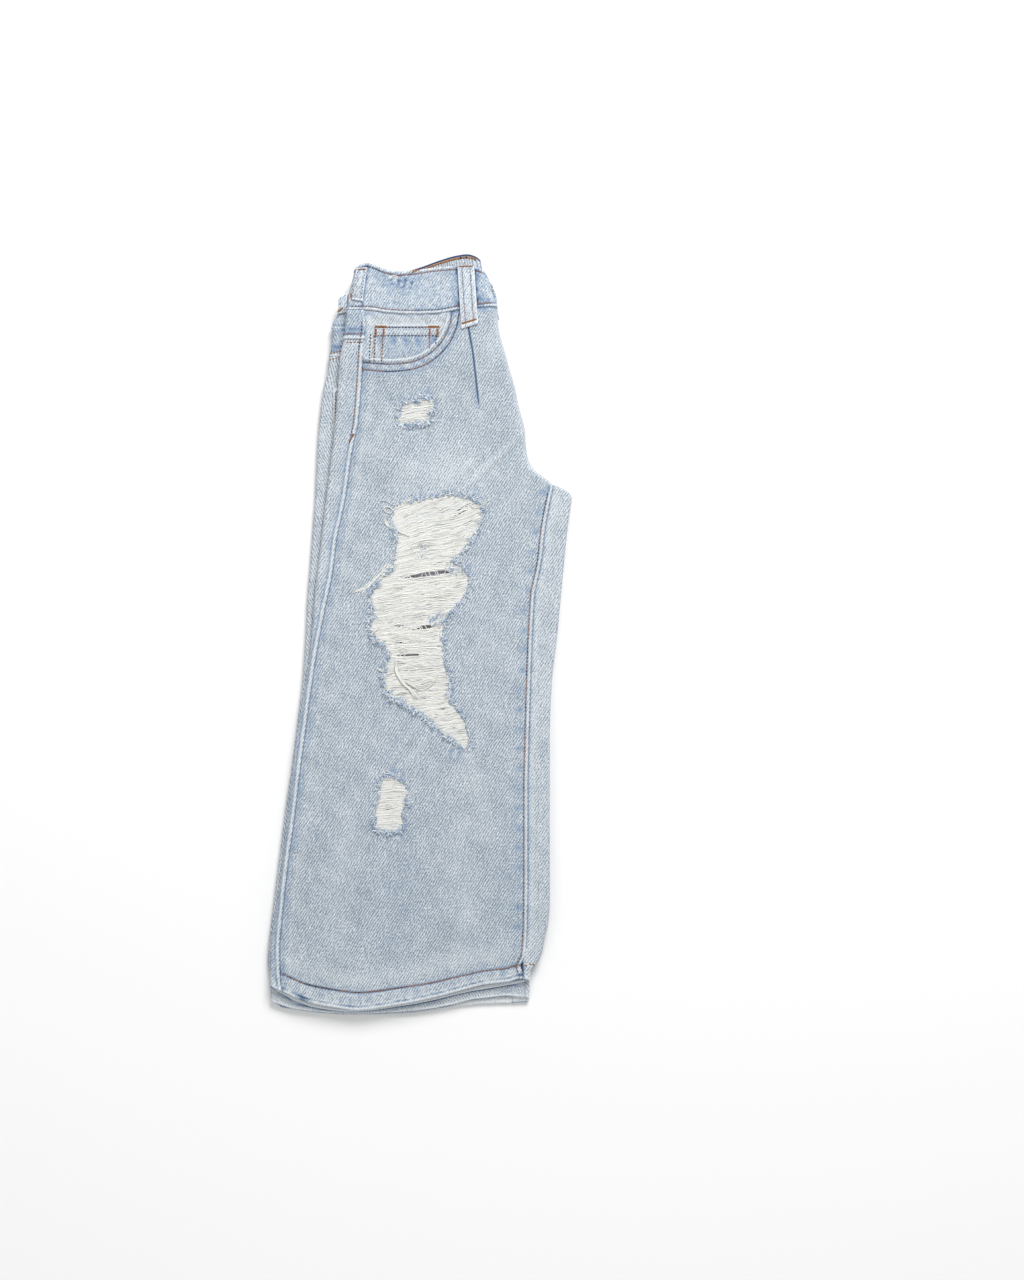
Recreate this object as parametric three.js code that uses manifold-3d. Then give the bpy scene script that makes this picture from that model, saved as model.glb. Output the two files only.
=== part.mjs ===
// A child's wide-legged ripped jeans, folded in half along the centre front and laid flat.
// Millimetres. +X runs from the side fold to the centre front, +Y towards the waistband,
// +Z up. The four layers, from the top: right front, right back, left back, left front.
import * as THREE from 'three';
import { mergeVertices } from 'three/addons/utils/BufferGeometryUtils.js';
import Module from 'manifold-3d';

const wasm = await Module();
wasm.setup();

// ---------------------------------------------------------------- driving sizes

const CLOTH = 1.2;        // one layer of denim
const BAND = 2.4;         // waistband and hem: denim turned double
const SEAM_GAP = 0.3;     // clearance between two pieces at a seam
const HEM_HEIGHT = 10.5;  // depth of the turned hem
const FOLD_RADIUS = 2.8;  // how far a folded edge reaches out
const FRONT_RADIUS = 5;   // the same at the centre front, where the outer layers wrap all
const CORE_INSET = 8;     // hidden layers stop this far inside a folded edge
const CORE_INSET_CF = 14; // and this far inside the centre front
const LOOP_THICK = 1.5;
const BUTTON_RADIUS = 6;
const YOKE_SEAM_RIGHT = 259;
const YOKE_SEAM_LEFT = 245;
const CROTCH_TOP = 141;    // the inseam starts to climb over the edge here
const CROTCH_LOW = 131;    // and lies on the face from here down
const POCKET_DROP = 3.8;   // how much lower the hidden layers lie under the pockets

// Half of the folded stack, from its middle plane to its outer face, against Y.
const HALF_HEIGHT = [[334, 8.2], [318, 8.2], [284, 9], [240, 8.6], [190, 7.8], [140, 6.9],
  [126, 6.5], [100, 6.5], [-340, 6.5]];
// The lower half's underside: lifted at the waist, where loops and a button are under it.
const BASE = [[334, 2.1], [252, 2.1], [212, 0], [200, 0], [-340, 0]];
// Room for the left back pocket between the two middle layers.
const POCKET_ROOM = [[334, 0], [246, 0], [232, 1.4], [108, 1.4], [94, 0], [-340, 0]];

// Edges and seams of each half, as [y, x].
const RIGHT = {
  name: 'right',
  up: 1,
  fold: [[334, -56], [323, -56], [305, -60], [287, -62.5], [263, -65], [244, -69], [205, -72],
    [168, -75.5], [118, -82], [70, -87.5], [37, -91.5], [-9, -95], [-59, -102.5], [-99, -108.5],
    [-140, -113], [-186, -118.5], [-220, -122.5], [-250, -127], [-275, -130], [-306, -130.5]],
  side: [[334, -50], [294, -50], [272, -46], [251, -48.5], [216, -51], [184, -54], [171, -57],
    [151, -60.5], [126, -64], [105, -68], [85, -72.5], [56, -76], [27, -82], [-21, -91],
    [-70, -98], [-118, -104.5], [-160, -109.5], [-203, -115.5], [-240, -119.5], [-278, -122.5],
    [-297, -122], [-311, -120.5]],
  edge: [[334, 53], [322, 56], [315, 61], [301, 64], [289, 67.5], [276, 69], [259, 72],
    [241, 77], [224, 82], [202, 87], [181, 92], [159, 94.5], [151, 97.5], [144, 102],
    [139.5, 109], [132.5, 118.3], [128, 127], [125, 131.5], [120, 133.9], [108, 132.2],
    [93, 130], [73, 128], [31, 124], [-4, 120.8], [-39, 116.5], [-89, 114.6], [-233, 114.6],
    [-257, 113], [-266, 111], [-288, 107], [-298, 101.5], [-305, 97.3], [-311, 97.3]],
  inseam: [[133, 118], [115, 114], [93, 110], [66, 107], [31, 100.5], [-89, 96], [-137, 95],
    [-209, 95], [-252, 94.5], [-279, 93], [-290, 88.5], [-299, 91], [-311, 91]],
  back: [[334, 47], [322, 52.5], [315, 54], [301, 57], [289, 60.5], [259, 65], [224, 75],
    [181, 85], [159, 87.5], [144, 95], [134, 102]],
  hemFront: [[-131, -306], [-120, -311], [-99, -320], [-75, -325], [-54, -327.5], [-17, -322.5],
    [15, -316], [40, -309.3], [57, -305], [78, -302.5], [88, -299.8], [101, -302]],
  hemBack: [[-131, -306], [-115, -317], [-95, -325], [-60, -329.5], [-17, -324.6], [9, -320],
    [42, -312], [69, -307.6], [101, -301.5]],
  waistSeam: [[-62, 284], [-46, 284], [-26, 281.5], [-6, 280.5], [14, 281], [36, 284.5],
    [67, 287.4]],
  waistTopFront: [[-58, 317], [-52.5, 323.3], [-46, 325], [-39, 323.3], [-28, 319], [-17, 317.5],
    [0, 319], [14, 321], [34, 322.4], [49, 321.6], [56, 319], [61, 315]],
  waistTopBack: [[-58, 317], [-50, 320], [-30, 317], [-12, 318.5], [2, 322.4], [19, 328.6],
    [34, 332.7], [42, 333.7], [49, 332], [53, 329]],
  yokeSeam: YOKE_SEAM_RIGHT,
};
const LEFT = {
  name: 'left',
  up: -1,
  fold: [[320, -55], [299, -64], [293, -71], [285, -72], [276, -76], [254, -77.5], [247, -79],
    [232, -81.5], [216, -85], [202, -86.8], [188, -88.4], [162, -90.2], [123, -92], [101, -93.6],
    [66, -96.2], [31, -98.9], [-4, -100.6], [-39, -103.2], [-74, -107.6], [-109, -112],
    [-144, -117.2], [-179, -121.6], [-214, -126], [-249, -130.4], [-275, -133.4],
    [-288, -133.9], [-305, -132.2], [-319, -131.2]],
  side: [[320, -44], [285, -58], [263, -61], [244, -62], [205, -67], [168, -71], [118, -75],
    [70, -81], [37, -87], [-9, -94], [-59, -99], [-140, -110], [-220, -120], [-275, -126],
    [-319, -123]],
  edge: RIGHT.edge.filter(([y]) => y > 134).concat([[128, 121], [121, 127.5], [115, 128.5],
    [93, 125], [73, 123], [31, 119], [-4, 115.8], [-39, 111.5], [-89, 109.6], [-233, 109.6],
    [-257, 108], [-275, 103], [-288, 99.5], [-300, 97.5], [-322, 97.3]]),
  inseam: [[133, 113], [115, 110], [93, 106], [31, 98], [-89, 91], [-209, 90], [-279, 86],
    [-322, 82]],
  back: RIGHT.back.map(([y, x]) => [y, x - 1]),
  hemFront: [[-132, -319], [-126, -323.5], [-119, -327.2], [-63, -333], [-17, -333.4],
    [19, -328], [53, -323.6], [84, -322.6], [98, -322]],
  hemBack: [[-132, -319], [-119, -326], [-60, -331.5], [-17, -330], [24.5, -324.8],
    [40, -320], [60, -317.4], [80, -315.6], [98, -318]],
  waistSeam: [[-77, 269], [-46, 268], [-6, 267], [36, 272], [67, 277]],
  waistTopFront: [[-72, 293], [-64, 298.5], [-52, 302], [-20, 303], [20, 307], [50, 309],
    [60, 309]],
  waistTopBack: [[-72, 293], [-64, 298.5], [-52, 303], [-20, 306], [20, 314], [52, 317]],
  yokeSeam: YOKE_SEAM_LEFT,
};

// Worn-through places in the right front, as [x, y] outlines.
const RIPS = {
  thigh: [[-11.7, 200.8], [-2.6, 204.3], [12.8, 205.2], [8.3, 189.9], [-17.5, 188.6]],
  knee: [[-14, 116], [8, 119], [30.6, 122.9], [50.8, 116], [54.2, 105.4], [48, 89.7],
    [37.6, 75.7], [28.4, 65.2], [37.6, 58.2], [42.9, 45], [35, 29.3], [22, 15.3], [20, -10],
    [24.9, -40.7], [25, -55.6], [36.8, -69.6], [42, -84.4], [40.2, -98.4], [29.8, -88.8],
    [17.5, -81.8], [6, -69.6], [-13, -57.8], [-28, -48], [-29, -31], [-25.4, -14.4],
    [-37.6, -2.2], [-42, 9.2], [-38.5, 16.2], [-42, 33.7], [-31.5, 46.8], [-21, 62.6],
    [-19.2, 89.7], [-22, 105.4]],
  shin: [[-30.6, -124.7], [-17, -127.3], [-11.4, -139.6], [-14.9, -153.6], [-15.8, -166.7],
    [-36.2, -168.4], [-35, -141.8]],
};

// The scoop pocket's opening, its facing and the coin pocket, as [x, y] outlines.
const SCOOP = [[24.8, 282], [22.8, 271.7], [17.5, 260.3], [9.6, 251.6], [0, 245.4],
  [-10.5, 242.3], [-26.2, 241.1], [-48, 242.8]];
const FACING = [[-46.5, 279.8], [-26, 279.8], [-6, 279.6], [14, 279.8], [28, 280.5], [31, 268],
  [25, 253], [13, 241.5], [0, 235], [-12, 232.5], [-30, 231.5], [-45.5, 233]];
const COIN_POCKET = [[-38, 271.4], [18.6, 271.4], [17.4, 262], [14, 245.5], [0, 238],
  [-12, 235.5], [-30, 234.5], [-42, 236]];
const BACK_POCKET = [[-75.5, 217], [14, 214], [13, 135], [-31, 119], [-74.5, 136]];
const LEFT_SHIFT = [-10, -13];   // the lower half lies this far off the upper

// ---------------------------------------------------------------- helpers

const lerp = (a, b, t) => a + (b - a) * t;
const clamp = (v, lo, hi) => Math.min(hi, Math.max(lo, v));

function smooth(from, to, v) {
  const t = clamp((v - from) / (to - from), 0, 1);
  return t * t * (3 - 2 * t);
}

// Value at y of a table of [y, value], which may run either way.
function along(table, y) {
  const rows = table[0][0] < table.at(-1)[0] ? table : [...table].reverse();
  if (y <= rows[0][0]) return rows[0][1];
  for (let i = 1; i < rows.length; i += 1) {
    if (y <= rows[i][0]) {
      const t = (y - rows[i - 1][0]) / (rows[i][0] - rows[i - 1][0]);
      return lerp(rows[i - 1][1], rows[i][1], t);
    }
  }
  return rows.at(-1)[1];
}

const half = (y) => along(HALF_HEIGHT, y);
const middle = (y) => along(BASE, y) + half(y);
const inner = (side, y) => 0.15 + (side.up > 0 ? along(POCKET_ROOM, y) : 0);

// A closed mesh from a grid of rows, each point {outer, inner} on the wall's two faces.
function wall(rows) {
  const [nv, nu] = [rows.length, rows[0].length];
  const points = [];
  for (const face of ['outer', 'inner']) {
    for (const row of rows) {
      for (const p of row) points.push(...p[face]);
    }
  }
  const at = (v, u, face) => face * nu * nv + v * nu + u;
  const faces = [];
  const quad = (a, b, c, d) => faces.push(a, b, c, a, c, d);
  for (let v = 0; v + 1 < nv; v += 1) {
    for (let u = 0; u + 1 < nu; u += 1) {
      quad(at(v, u, 0), at(v, u + 1, 0), at(v + 1, u + 1, 0), at(v + 1, u, 0));
      quad(at(v, u, 1), at(v + 1, u, 1), at(v + 1, u + 1, 1), at(v, u + 1, 1));
    }
  }
  for (let u = 0; u + 1 < nu; u += 1) {
    quad(at(0, u, 1), at(0, u + 1, 1), at(0, u + 1, 0), at(0, u, 0));
    quad(at(nv - 1, u, 0), at(nv - 1, u + 1, 0), at(nv - 1, u + 1, 1), at(nv - 1, u, 1));
  }
  for (let v = 0; v + 1 < nv; v += 1) {
    quad(at(v, 0, 0), at(v + 1, 0, 0), at(v + 1, 0, 1), at(v, 0, 1));
    quad(at(v, nu - 1, 1), at(v + 1, nu - 1, 1), at(v + 1, nu - 1, 0), at(v, nu - 1, 0));
  }
  return facingOut(points, faces);
}

// Geometry from points and triangles, turned so that its faces look out.
function facingOut(points, faces) {
  let volume = 0;
  const p = (i) => new THREE.Vector3(points[3 * i], points[3 * i + 1], points[3 * i + 2]);
  for (let i = 0; i < faces.length; i += 3) {
    volume += p(faces[i]).dot(p(faces[i + 1]).cross(p(faces[i + 2])));
  }
  if (volume < 0) {
    for (let i = 0; i < faces.length; i += 3) {
      [faces[i + 1], faces[i + 2]] = [faces[i + 2], faces[i + 1]];
    }
  }
  const geometry = new THREE.BufferGeometry();
  geometry.setAttribute('position', new THREE.Float32BufferAttribute(points, 3));
  geometry.setIndex(faces);
  return geometry;
}

function solid(geometry) {
  const clean = geometry.clone();
  clean.deleteAttribute('normal');
  clean.deleteAttribute('uv');
  const merged = mergeVertices(clean, 1e-4);
  return new wasm.Manifold(new wasm.Mesh({
    numProp: 3,
    vertProperties: new Float32Array(merged.attributes.position.array),
    triVerts: new Uint32Array(merged.index.array),
  }));
}

function fromSolid(manifold) {
  const mesh = manifold.getMesh();
  const geometry = new THREE.BufferGeometry();
  geometry.setAttribute('position', new THREE.Float32BufferAttribute(mesh.vertProperties, 3));
  geometry.setIndex([...mesh.triVerts]);
  return geometry;
}

const without = (geometry, ...tools) => fromSolid(
  tools.reduce((left, tool) => left.subtract(solid(tool)), solid(geometry)),
);

// A flat plate with an [x, y] outline, its faces at low(x, y) and high(x, y).
function plate(outline, low, high) {
  const shape = new THREE.Shape(outline.map(([x, y]) => new THREE.Vector2(x, y)));
  const geometry = new THREE.ExtrudeGeometry(shape, { depth: 1, bevelEnabled: false });
  const pos = geometry.attributes.position;
  for (let i = 0; i < pos.count; i += 1) {
    const [x, y] = [pos.getX(i), pos.getY(i)];
    pos.setZ(i, pos.getZ(i) > 0.5 ? high(x, y) : low(x, y));
  }
  geometry.deleteAttribute('normal');
  geometry.deleteAttribute('uv');
  return mergeVertices(geometry, 1e-4);
}

// The outline moved in (or out, if negative) by a distance.
function inset(outline, distance) {
  const area = outline.reduce((sum, [x, y], i) => {
    const [nx, ny] = outline[(i + 1) % outline.length];
    return sum + x * ny - nx * y;
  }, 0);
  const turn = area > 0 ? 1 : -1;
  return outline.map(([x, y], i) => {
    const [px, py] = outline[(i + outline.length - 1) % outline.length];
    const [nx, ny] = outline[(i + 1) % outline.length];
    const a = new THREE.Vector2(x - px, y - py).normalize();
    const b = new THREE.Vector2(nx - x, ny - y).normalize();
    const n = new THREE.Vector2(-(a.y + b.y), a.x + b.x).normalize();
    const stretch = 1 / Math.max(0.6, Math.abs(n.dot(new THREE.Vector2(-a.y, a.x))));
    return [x + n.x * turn * distance * stretch, y + n.y * turn * distance * stretch];
  });
}

const moved = (outline, [dx, dy]) => outline.map(([x, y]) => [x + dx, y + dy]);

// ---------------------------------------------------------------- sections of a half

// Sections are drawn as [x, w]: w is the height above the stack's middle plane.

// The front: from the side seam across the face, and round the centre front.
function frontSection(side, y) {
  const top = half(y) - CLOTH / 2;
  const edge = along(side.edge, y) - CLOTH / 2;
  const start = along(side.side, y) + SEAM_GAP / 2;
  const centre = edge - FRONT_RADIUS;
  const drop = top - 0.75;
  const onFace = Math.min(along(side.inseam, y), edge - FOLD_RADIUS - 0.6) - SEAM_GAP / 2;
  const climb = clamp((CROTCH_TOP - y) / (CROTCH_TOP - CROTCH_LOW), 0, 1);
  const faceTurn = Math.asin(clamp((onFace - centre) / FRONT_RADIUS, 0, 1));
  const turn = lerp(Math.PI / 2, faceTurn, climb);
  const path = [[start, top]];
  if (y <= CROTCH_LOW && onFace < centre) {
    path.push([onFace, top]);
    return path;
  }
  path.push([centre, top]);
  for (let i = 1; i <= 6; i += 1) {
    const a = turn * i / 6;
    path.push([centre + FRONT_RADIUS * Math.sin(a), 0.75 + drop * Math.cos(a)]);
  }
  return path;
}

// Height of the front's free edge above the middle plane.
const frontEnd = (side, y) => frontSection(side, y).at(-1)[1];

// The back's side part: from the side seam over the fold to the middle layer.
function foldSection(side, y) {
  const top = half(y) - CLOTH / 2;
  const low = inner(side, y) + CLOTH / 2;
  const [mid, radius] = [(top + low) / 2, (top - low) / 2];
  const left = along(side.fold, y) + CLOTH / 2 + FOLD_RADIUS;
  const path = [[Math.max(along(side.side, y) - SEAM_GAP / 2, left + 0.4), top], [left, top]];
  for (let i = 1; i <= 6; i += 1) {
    const a = Math.PI * i / 6;
    path.push([left - FOLD_RADIUS * Math.sin(a), mid + radius * Math.cos(a)]);
  }
  return path;
}

// The back's inner part: from the middle layer round the leg's edge to the inseam.
function inseamSection(side, y) {
  const top = half(y) - CLOTH / 2;
  const low = inner(side, y) + CLOTH / 2;
  const [mid, radius] = [(top + low) / 2, (top - low) / 2];
  const climb = clamp((CROTCH_TOP - y) / (CROTCH_TOP - CROTCH_LOW), 0, 1);
  const edge = along(side.edge, y) - CLOTH / 2 - FOLD_RADIUS;
  const right = lerp(Math.min(along(side.back, y), edge), edge, climb);
  let turn = Math.PI;
  if (y > CROTCH_LOW) {
    const end = frontEnd(side, y) - 2.6;
    turn = Math.max(0.12, Math.acos(clamp((mid - end) / radius, -1, 1)));
  }
  const path = [[right, low]];
  for (let i = 1; i <= 8; i += 1) {
    const a = turn * i / 8;
    path.push([right + FOLD_RADIUS * Math.sin(a), mid - radius * Math.cos(a)]);
  }
  if (y <= CROTCH_LOW) {
    const end = along(side.inseam, y) + SEAM_GAP / 2;
    path.push([Math.min(end, right - 0.3), top]);
  }
  return path;
}

// Points at even fractions of a path's length, with the normal to its right-hand side.
function sampled(path, fractions) {
  const at = [0];
  for (let i = 1; i < path.length; i += 1) {
    at.push(at[i - 1] + Math.hypot(path[i][0] - path[i - 1][0], path[i][1] - path[i - 1][1]));
  }
  const point = (s) => {
    const want = clamp(s, 0, at.at(-1));
    let i = 1;
    while (i < at.length - 1 && at[i] < want) i += 1;
    const t = (want - at[i - 1]) / Math.max(1e-9, at[i] - at[i - 1]);
    return [lerp(path[i - 1][0], path[i][0], t), lerp(path[i - 1][1], path[i][1], t)];
  };
  return fractions.map((f) => {
    const s = f * at.at(-1);
    const [a, b, p] = [point(s - 0.4), point(s + 0.4), point(s)];
    const length = Math.hypot(b[0] - a[0], b[1] - a[1]);
    return { x: p[0], w: p[1], nx: (b[1] - a[1]) / length, nw: -(b[0] - a[0]) / length };
  });
}

// One row of a wall at height y, its points placed in space; end moves y at the hem or waist.
function placed(side, y, samples, outward, inward, end) {
  const put = (s, distance) => {
    const [x, w] = [s.x + s.nx * distance, s.w + s.nw * distance];
    return [x, end(s, y), middle(y) + side.up * w];
  };
  return samples.map((s) => ({ outer: put(s, outward), inner: put(s, -inward) }));
}

// Y of a point near the hem, where the rows run parallel to the hem's own curve.
const HEM_REACH = 90;
function hemmed(side, back) {
  const nominal = side.up > 0 ? -311 : -322;
  return (s, y) => {
    const table = back(s) ? side.hemBack : side.hemFront;
    return y + (along(table, s.x) - nominal) * smooth(nominal + HEM_REACH, nominal, y);
  };
}

// Rows of a leg panel from its top seam down to the hem, and how much thicker the hem is.
function legRows(side, top) {
  const hem = side.up > 0 ? -311 : -322;
  const marks = [272, 259, 248, 235, 205, 175, 158, 150, 145, 141, 138, 136, 134, 132.5, 131, 128, 125, 121, 116,
    105, 85, 55, 15, -35, -85, -135, -185, -225, -250, -268, -282, -292];
  return [top, ...marks.filter((y) => y < top - 4), hem + HEM_HEIGHT + 1, hem + HEM_HEIGHT, hem];
}
const hemExtra = (side, y) => (y <= (side.up > 0 ? -311 : -322) + HEM_HEIGHT ? CLOTH : 0);

// ---------------------------------------------------------------- the pieces

// Fractions from the centre front, or the inseam, to the side seam.
const FRONT_STEPS = [0, 0.02, 0.04, 0.07, 0.12, 0.25, 0.5, 0.75, 1];

function frontPanel(side) {
  const seam = (s, y) => y + (along(side.waistSeam, s.x) - SEAM_GAP / 2 - 281)
    * smooth(252, 281, y);
  const hem = hemmed(side, () => false);
  const rows = legRows(side, 281).map((y) => {
    const samples = sampled(frontSection(side, y).reverse(), FRONT_STEPS);
    const end = y > 0 ? seam : hem;
    return placed(side, y, samples, CLOTH / 2, CLOTH / 2 + hemExtra(side, y), end);
  });
  return wall(rows);
}

const FOLD_STEPS = [0, 0.3, 0.45, 0.55, 0.65, 0.75, 0.85, 1];
const INSEAM_STEPS = [0, 0.07, 0.15, 0.23, 0.31, 0.45, 0.7, 1];

function backPanel(side) {
  const rows = legRows(side, side.yokeSeam - SEAM_GAP / 2).map((y) => {
    const overFold = sampled(foldSection(side, y), FOLD_STEPS);
    const overInseam = sampled(inseamSection(side, y), INSEAM_STEPS);
    const samples = [...overFold, ...overInseam];
    const hem = hemmed(side, (s) => s.w < half(y) / 2);
    const end = y > 0 ? (s, height) => height : hem;
    return placed(side, y, samples, CLOTH / 2, CLOTH / 2 + hemExtra(side, y), end);
  });
  return wall(rows);
}

// The yoke: over the side fold, between the waistband and the back panel.
function yoke(side) {
  const low = side.yokeSeam + SEAM_GAP / 2;
  const high = along(side.waistSeam, along(side.fold, low)) - SEAM_GAP;
  const rows = [low, lerp(low, high, 0.5), high - 0.5].map((y) => {
    const path = foldSection(side, y);
    path.push([along(RIGHT.fold, y) + CORE_INSET - 0.8, path.at(-1)[1]]);
    return placed(side, y, sampled(path, FOLD_STEPS), CLOTH / 2, CLOTH / 2, (s, h) => h);
  });
  return wall(rows);
}

// The waistband: from the centre front over the face, round the side and to the centre back.
function waistband(side) {
  const steps = [0, 0.02, 0.04, 0.06, 0.09, 0.2, 0.32, 0.42, 0.46, 0.485, 0.505, 0.525, 0.55,
    0.62, 0.72, 0.82, 0.9, 1];
  const low = side.up > 0 ? 284 : 270;
  const high = side.up > 0 ? 320 : 302;
  const rows = [0, 0.35, 0.7, 1].map((v) => {
    const y = lerp(low, high, v);
    const front = frontSection(side, y).reverse();
    const start = along(side.side, y);
    const path = front.filter(([x]) => x > start + 2);
    path.push(...foldSection(side, y).slice(1));
    path.push([along(side.back, y), path.at(-1)[1]]);
    const end = (s) => {
      const behind = s.w < half(y) / 2 && s.x < along(side.back, y) + 1;
      const top = along(behind ? side.waistTopBack : side.waistTopFront, s.x);
      return lerp(along(side.waistSeam, s.x) + SEAM_GAP / 2, top, v);
    };
    return placed(side, y, sampled(path, steps), CLOTH / 2, BAND - CLOTH / 2, end);
  });
  return wall(rows);
}

// The hidden layers in the middle, as one rounded solid; grow makes the space it needs.
function hiddenLayers(grow) {
  const marks = [300, 284, 262, 244, 228, 214, 204, 190, 165, 150, 140, 126, 100, 40, -40, -120,
    -200, -262, -282];
  const rows = marks.map((y, i) => {
    const left = along(RIGHT.fold, y) + CORE_INSET - grow;
    const right = Math.min(along(RIGHT.edge, y), along(LEFT.edge, y)) + grow
      - lerp(CORE_INSET, CORE_INSET_CF, smooth(122, 135, y));
    const room = lerp(CLOTH + SEAM_GAP, CLOTH + SEAM_GAP + POCKET_DROP, smooth(204, 214, y));
    const tall = half(y) - room + grow;
    const end = i === 0 ? grow : i === marks.length - 1 ? -grow : 0;
    const ring = [];
    for (let k = 0; k < 12; k += 1) {
      const a = (k + 0.5) / 12 * 2 * Math.PI;
      const bend = (v) => Math.sign(v) * Math.abs(v) ** 0.3;
      const x = lerp(left, right, (1 + bend(Math.cos(a))) / 2);
      ring.push([x, y + end, middle(y) + tall * bend(Math.sin(a))]);
    }
    return ring;
  });
  const points = rows.flat(2);
  const faces = [];
  const n = 12;
  for (let v = 0; v + 1 < rows.length; v += 1) {
    for (let k = 0; k < n; k += 1) {
      const [a, b] = [v * n + k, v * n + (k + 1) % n];
      faces.push(a, b, b + n, a, b + n, a + n);
    }
  }
  const last = (rows.length - 1) * n;
  for (let k = 1; k + 1 < n; k += 1) {
    faces.push(0, k + 1, k, last, last + k, last + k + 1);
  }
  return facingOut(points, faces);
}

// Z of a half's outer face at a height y, moved out by a distance.
const face = (side, distance) => (x, y) => middle(y) + side.up * (half(y) + distance);

// A strip of belt loop down the band, its outline given by its two upper and lower corners.
function beltLoop(side, topLeft, topRight, bottomRight, bottomLeft) {
  const rows = [0, 0.12, 0.5, 0.88, 1].map((v) => [0, 0.25, 0.75, 1].map((u) => {
    const left = [lerp(topLeft[0], bottomLeft[0], v), lerp(topLeft[1], bottomLeft[1], v)];
    const right = [lerp(topRight[0], bottomRight[0], v), lerp(topRight[1], bottomRight[1], v)];
    const [x, y] = [lerp(left[0], right[0], u), lerp(left[1], right[1], u)];
    const lift = half(clamp(y, 276, 318)) + 2 * SEAM_GAP;
    const z = (distance) => middle(clamp(y, 276, 318)) + side.up * (lift + distance);
    return { outer: [x, y, z(LOOP_THICK)], inner: [x, y, z(0)] };
  }));
  return wall(rows);
}

function button(x, y, radius, z, height, up) {
  const profile = [[0, 0], [radius - 0.4, 0], [radius, 0.4], [radius, height - 0.5],
    [radius - 0.8, height], [radius - 2, height - 0.3], [0, height - 0.3]];
  const points = profile.map(([r, h]) => new THREE.Vector2(r, h));
  const geometry = new THREE.LatheGeometry(points, 20);
  geometry.rotateX(up > 0 ? Math.PI / 2 : -Math.PI / 2);
  geometry.translate(x, y, z);
  geometry.deleteAttribute('normal');
  geometry.deleteAttribute('uv');
  return facingOut([...mergeVertices(geometry, 1e-4).attributes.position.array],
    trimmed(mergeVertices(geometry, 1e-4)));
}

// Triangles of a merged geometry without the empty ones at a pole.
function trimmed(geometry) {
  const index = geometry.index.array;
  const kept = [];
  for (let i = 0; i < index.length; i += 3) {
    const [a, b, c] = [index[i], index[i + 1], index[i + 2]];
    if (a !== b && b !== c && a !== c) kept.push(a, b, c);
  }
  return kept;
}

// A piece of the pocket under the front panel, its outer face that far below the panel's.
const under = (side, outline, depth) => {
  const faces = [face(side, -depth), face(side, -depth - CLOTH)];
  return plate(outline, ...(side.up > 0 ? faces.reverse() : faces));
};

// The end of the lower half's side loop, which looks out past the upper half's fold.
const sideLoopEnd = plate(
  [[-70.5, 294.5], [-63.6, 299], [-64.2, 284], [-71, 281.5]],
  (x, y) => middle(y) + SEAM_GAP / 2,
  (x, y) => middle(y) + SEAM_GAP / 2 + LOOP_THICK,
);

const tall = (outline) => plate(outline, () => -50, () => 80);
const room = hiddenLayers(SEAM_GAP);

const scoopCut = [...SCOOP, [-70, 243], [-70, 320], [24.8, 320]];
const rightFront = without(frontPanel(RIGHT), tall(scoopCut), ...Object.values(RIPS).map(tall));
const leftFront = without(frontPanel(LEFT), tall(moved(scoopCut, LEFT_SHIFT)));

const threads = (outline) => plate(inset(outline, 0.35), face(RIGHT, -1.15), face(RIGHT, -0.15));
const COIN_DEPTH = CLOTH + 2 * SEAM_GAP;
const FACING_DEPTH = 2 * COIN_DEPTH;
const backPocket = plate(
  BACK_POCKET,
  (x, y) => middle(y) + SEAM_GAP / 2,
  (x, y) => middle(y) + SEAM_GAP / 2 + 1,
);

// ---------------------------------------------------------------- assembly

const DENIM = 0xb9c4cd;
const DENIM_DARK = 0x93a5b8;
const YARN = 0xdedcd4;
const METAL = 0x9a9890;

const pieces = [
  ['hidden_layers', hiddenLayers(0), DENIM_DARK],
  ['right_front_panel', rightFront, DENIM],
  ['right_back_panel', without(backPanel(RIGHT), room), DENIM],
  ['right_yoke', yoke(RIGHT), DENIM],
  ['right_waistband', without(waistband(RIGHT), room), DENIM],
  ['right_front_loop', beltLoop(RIGHT, [34, 321.6], [48, 322], [51.5, 271], [37.5, 268]), DENIM],
  ['right_side_loop', beltLoop(RIGHT, [-54, 320.5], [-45.5, 321], [-49, 292], [-57.5, 293]), DENIM],
  ['right_pocket_facing', under(RIGHT, FACING, FACING_DEPTH), DENIM],
  ['right_coin_pocket', under(RIGHT, COIN_POCKET, COIN_DEPTH), DENIM],
  ['left_front_panel', leftFront, DENIM],
  ['left_back_panel', without(backPanel(LEFT), room), DENIM],
  ['left_yoke', yoke(LEFT), DENIM],
  ['left_waistband', without(waistband(LEFT), room), DENIM],
  ['left_front_loop', beltLoop(LEFT, [30, 307], [44, 308], [46, 258], [32, 257]), DENIM],
  ['left_side_loop', sideLoopEnd, DENIM],
  ['left_pocket_facing', under(LEFT, moved(FACING, LEFT_SHIFT), COIN_DEPTH), DENIM],
  ['left_back_pocket', without(backPocket, room), DENIM],
  ['fly_button', button(54, 290, BUTTON_RADIUS, 1.5, 1.4, -1), METAL],
  ['thigh_threads', threads(RIPS.thigh), YARN],
  ['knee_threads', threads(RIPS.knee), YARN],
  ['shin_threads', threads(RIPS.shin), YARN],
];

const group = new THREE.Group();
for (const [name, geometry, colour] of pieces) {
  const material = new THREE.MeshStandardMaterial({ color: colour, roughness: 0.9 });
  const mesh = new THREE.Mesh(geometry, material);
  mesh.name = name;
  group.add(mesh);
}

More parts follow.
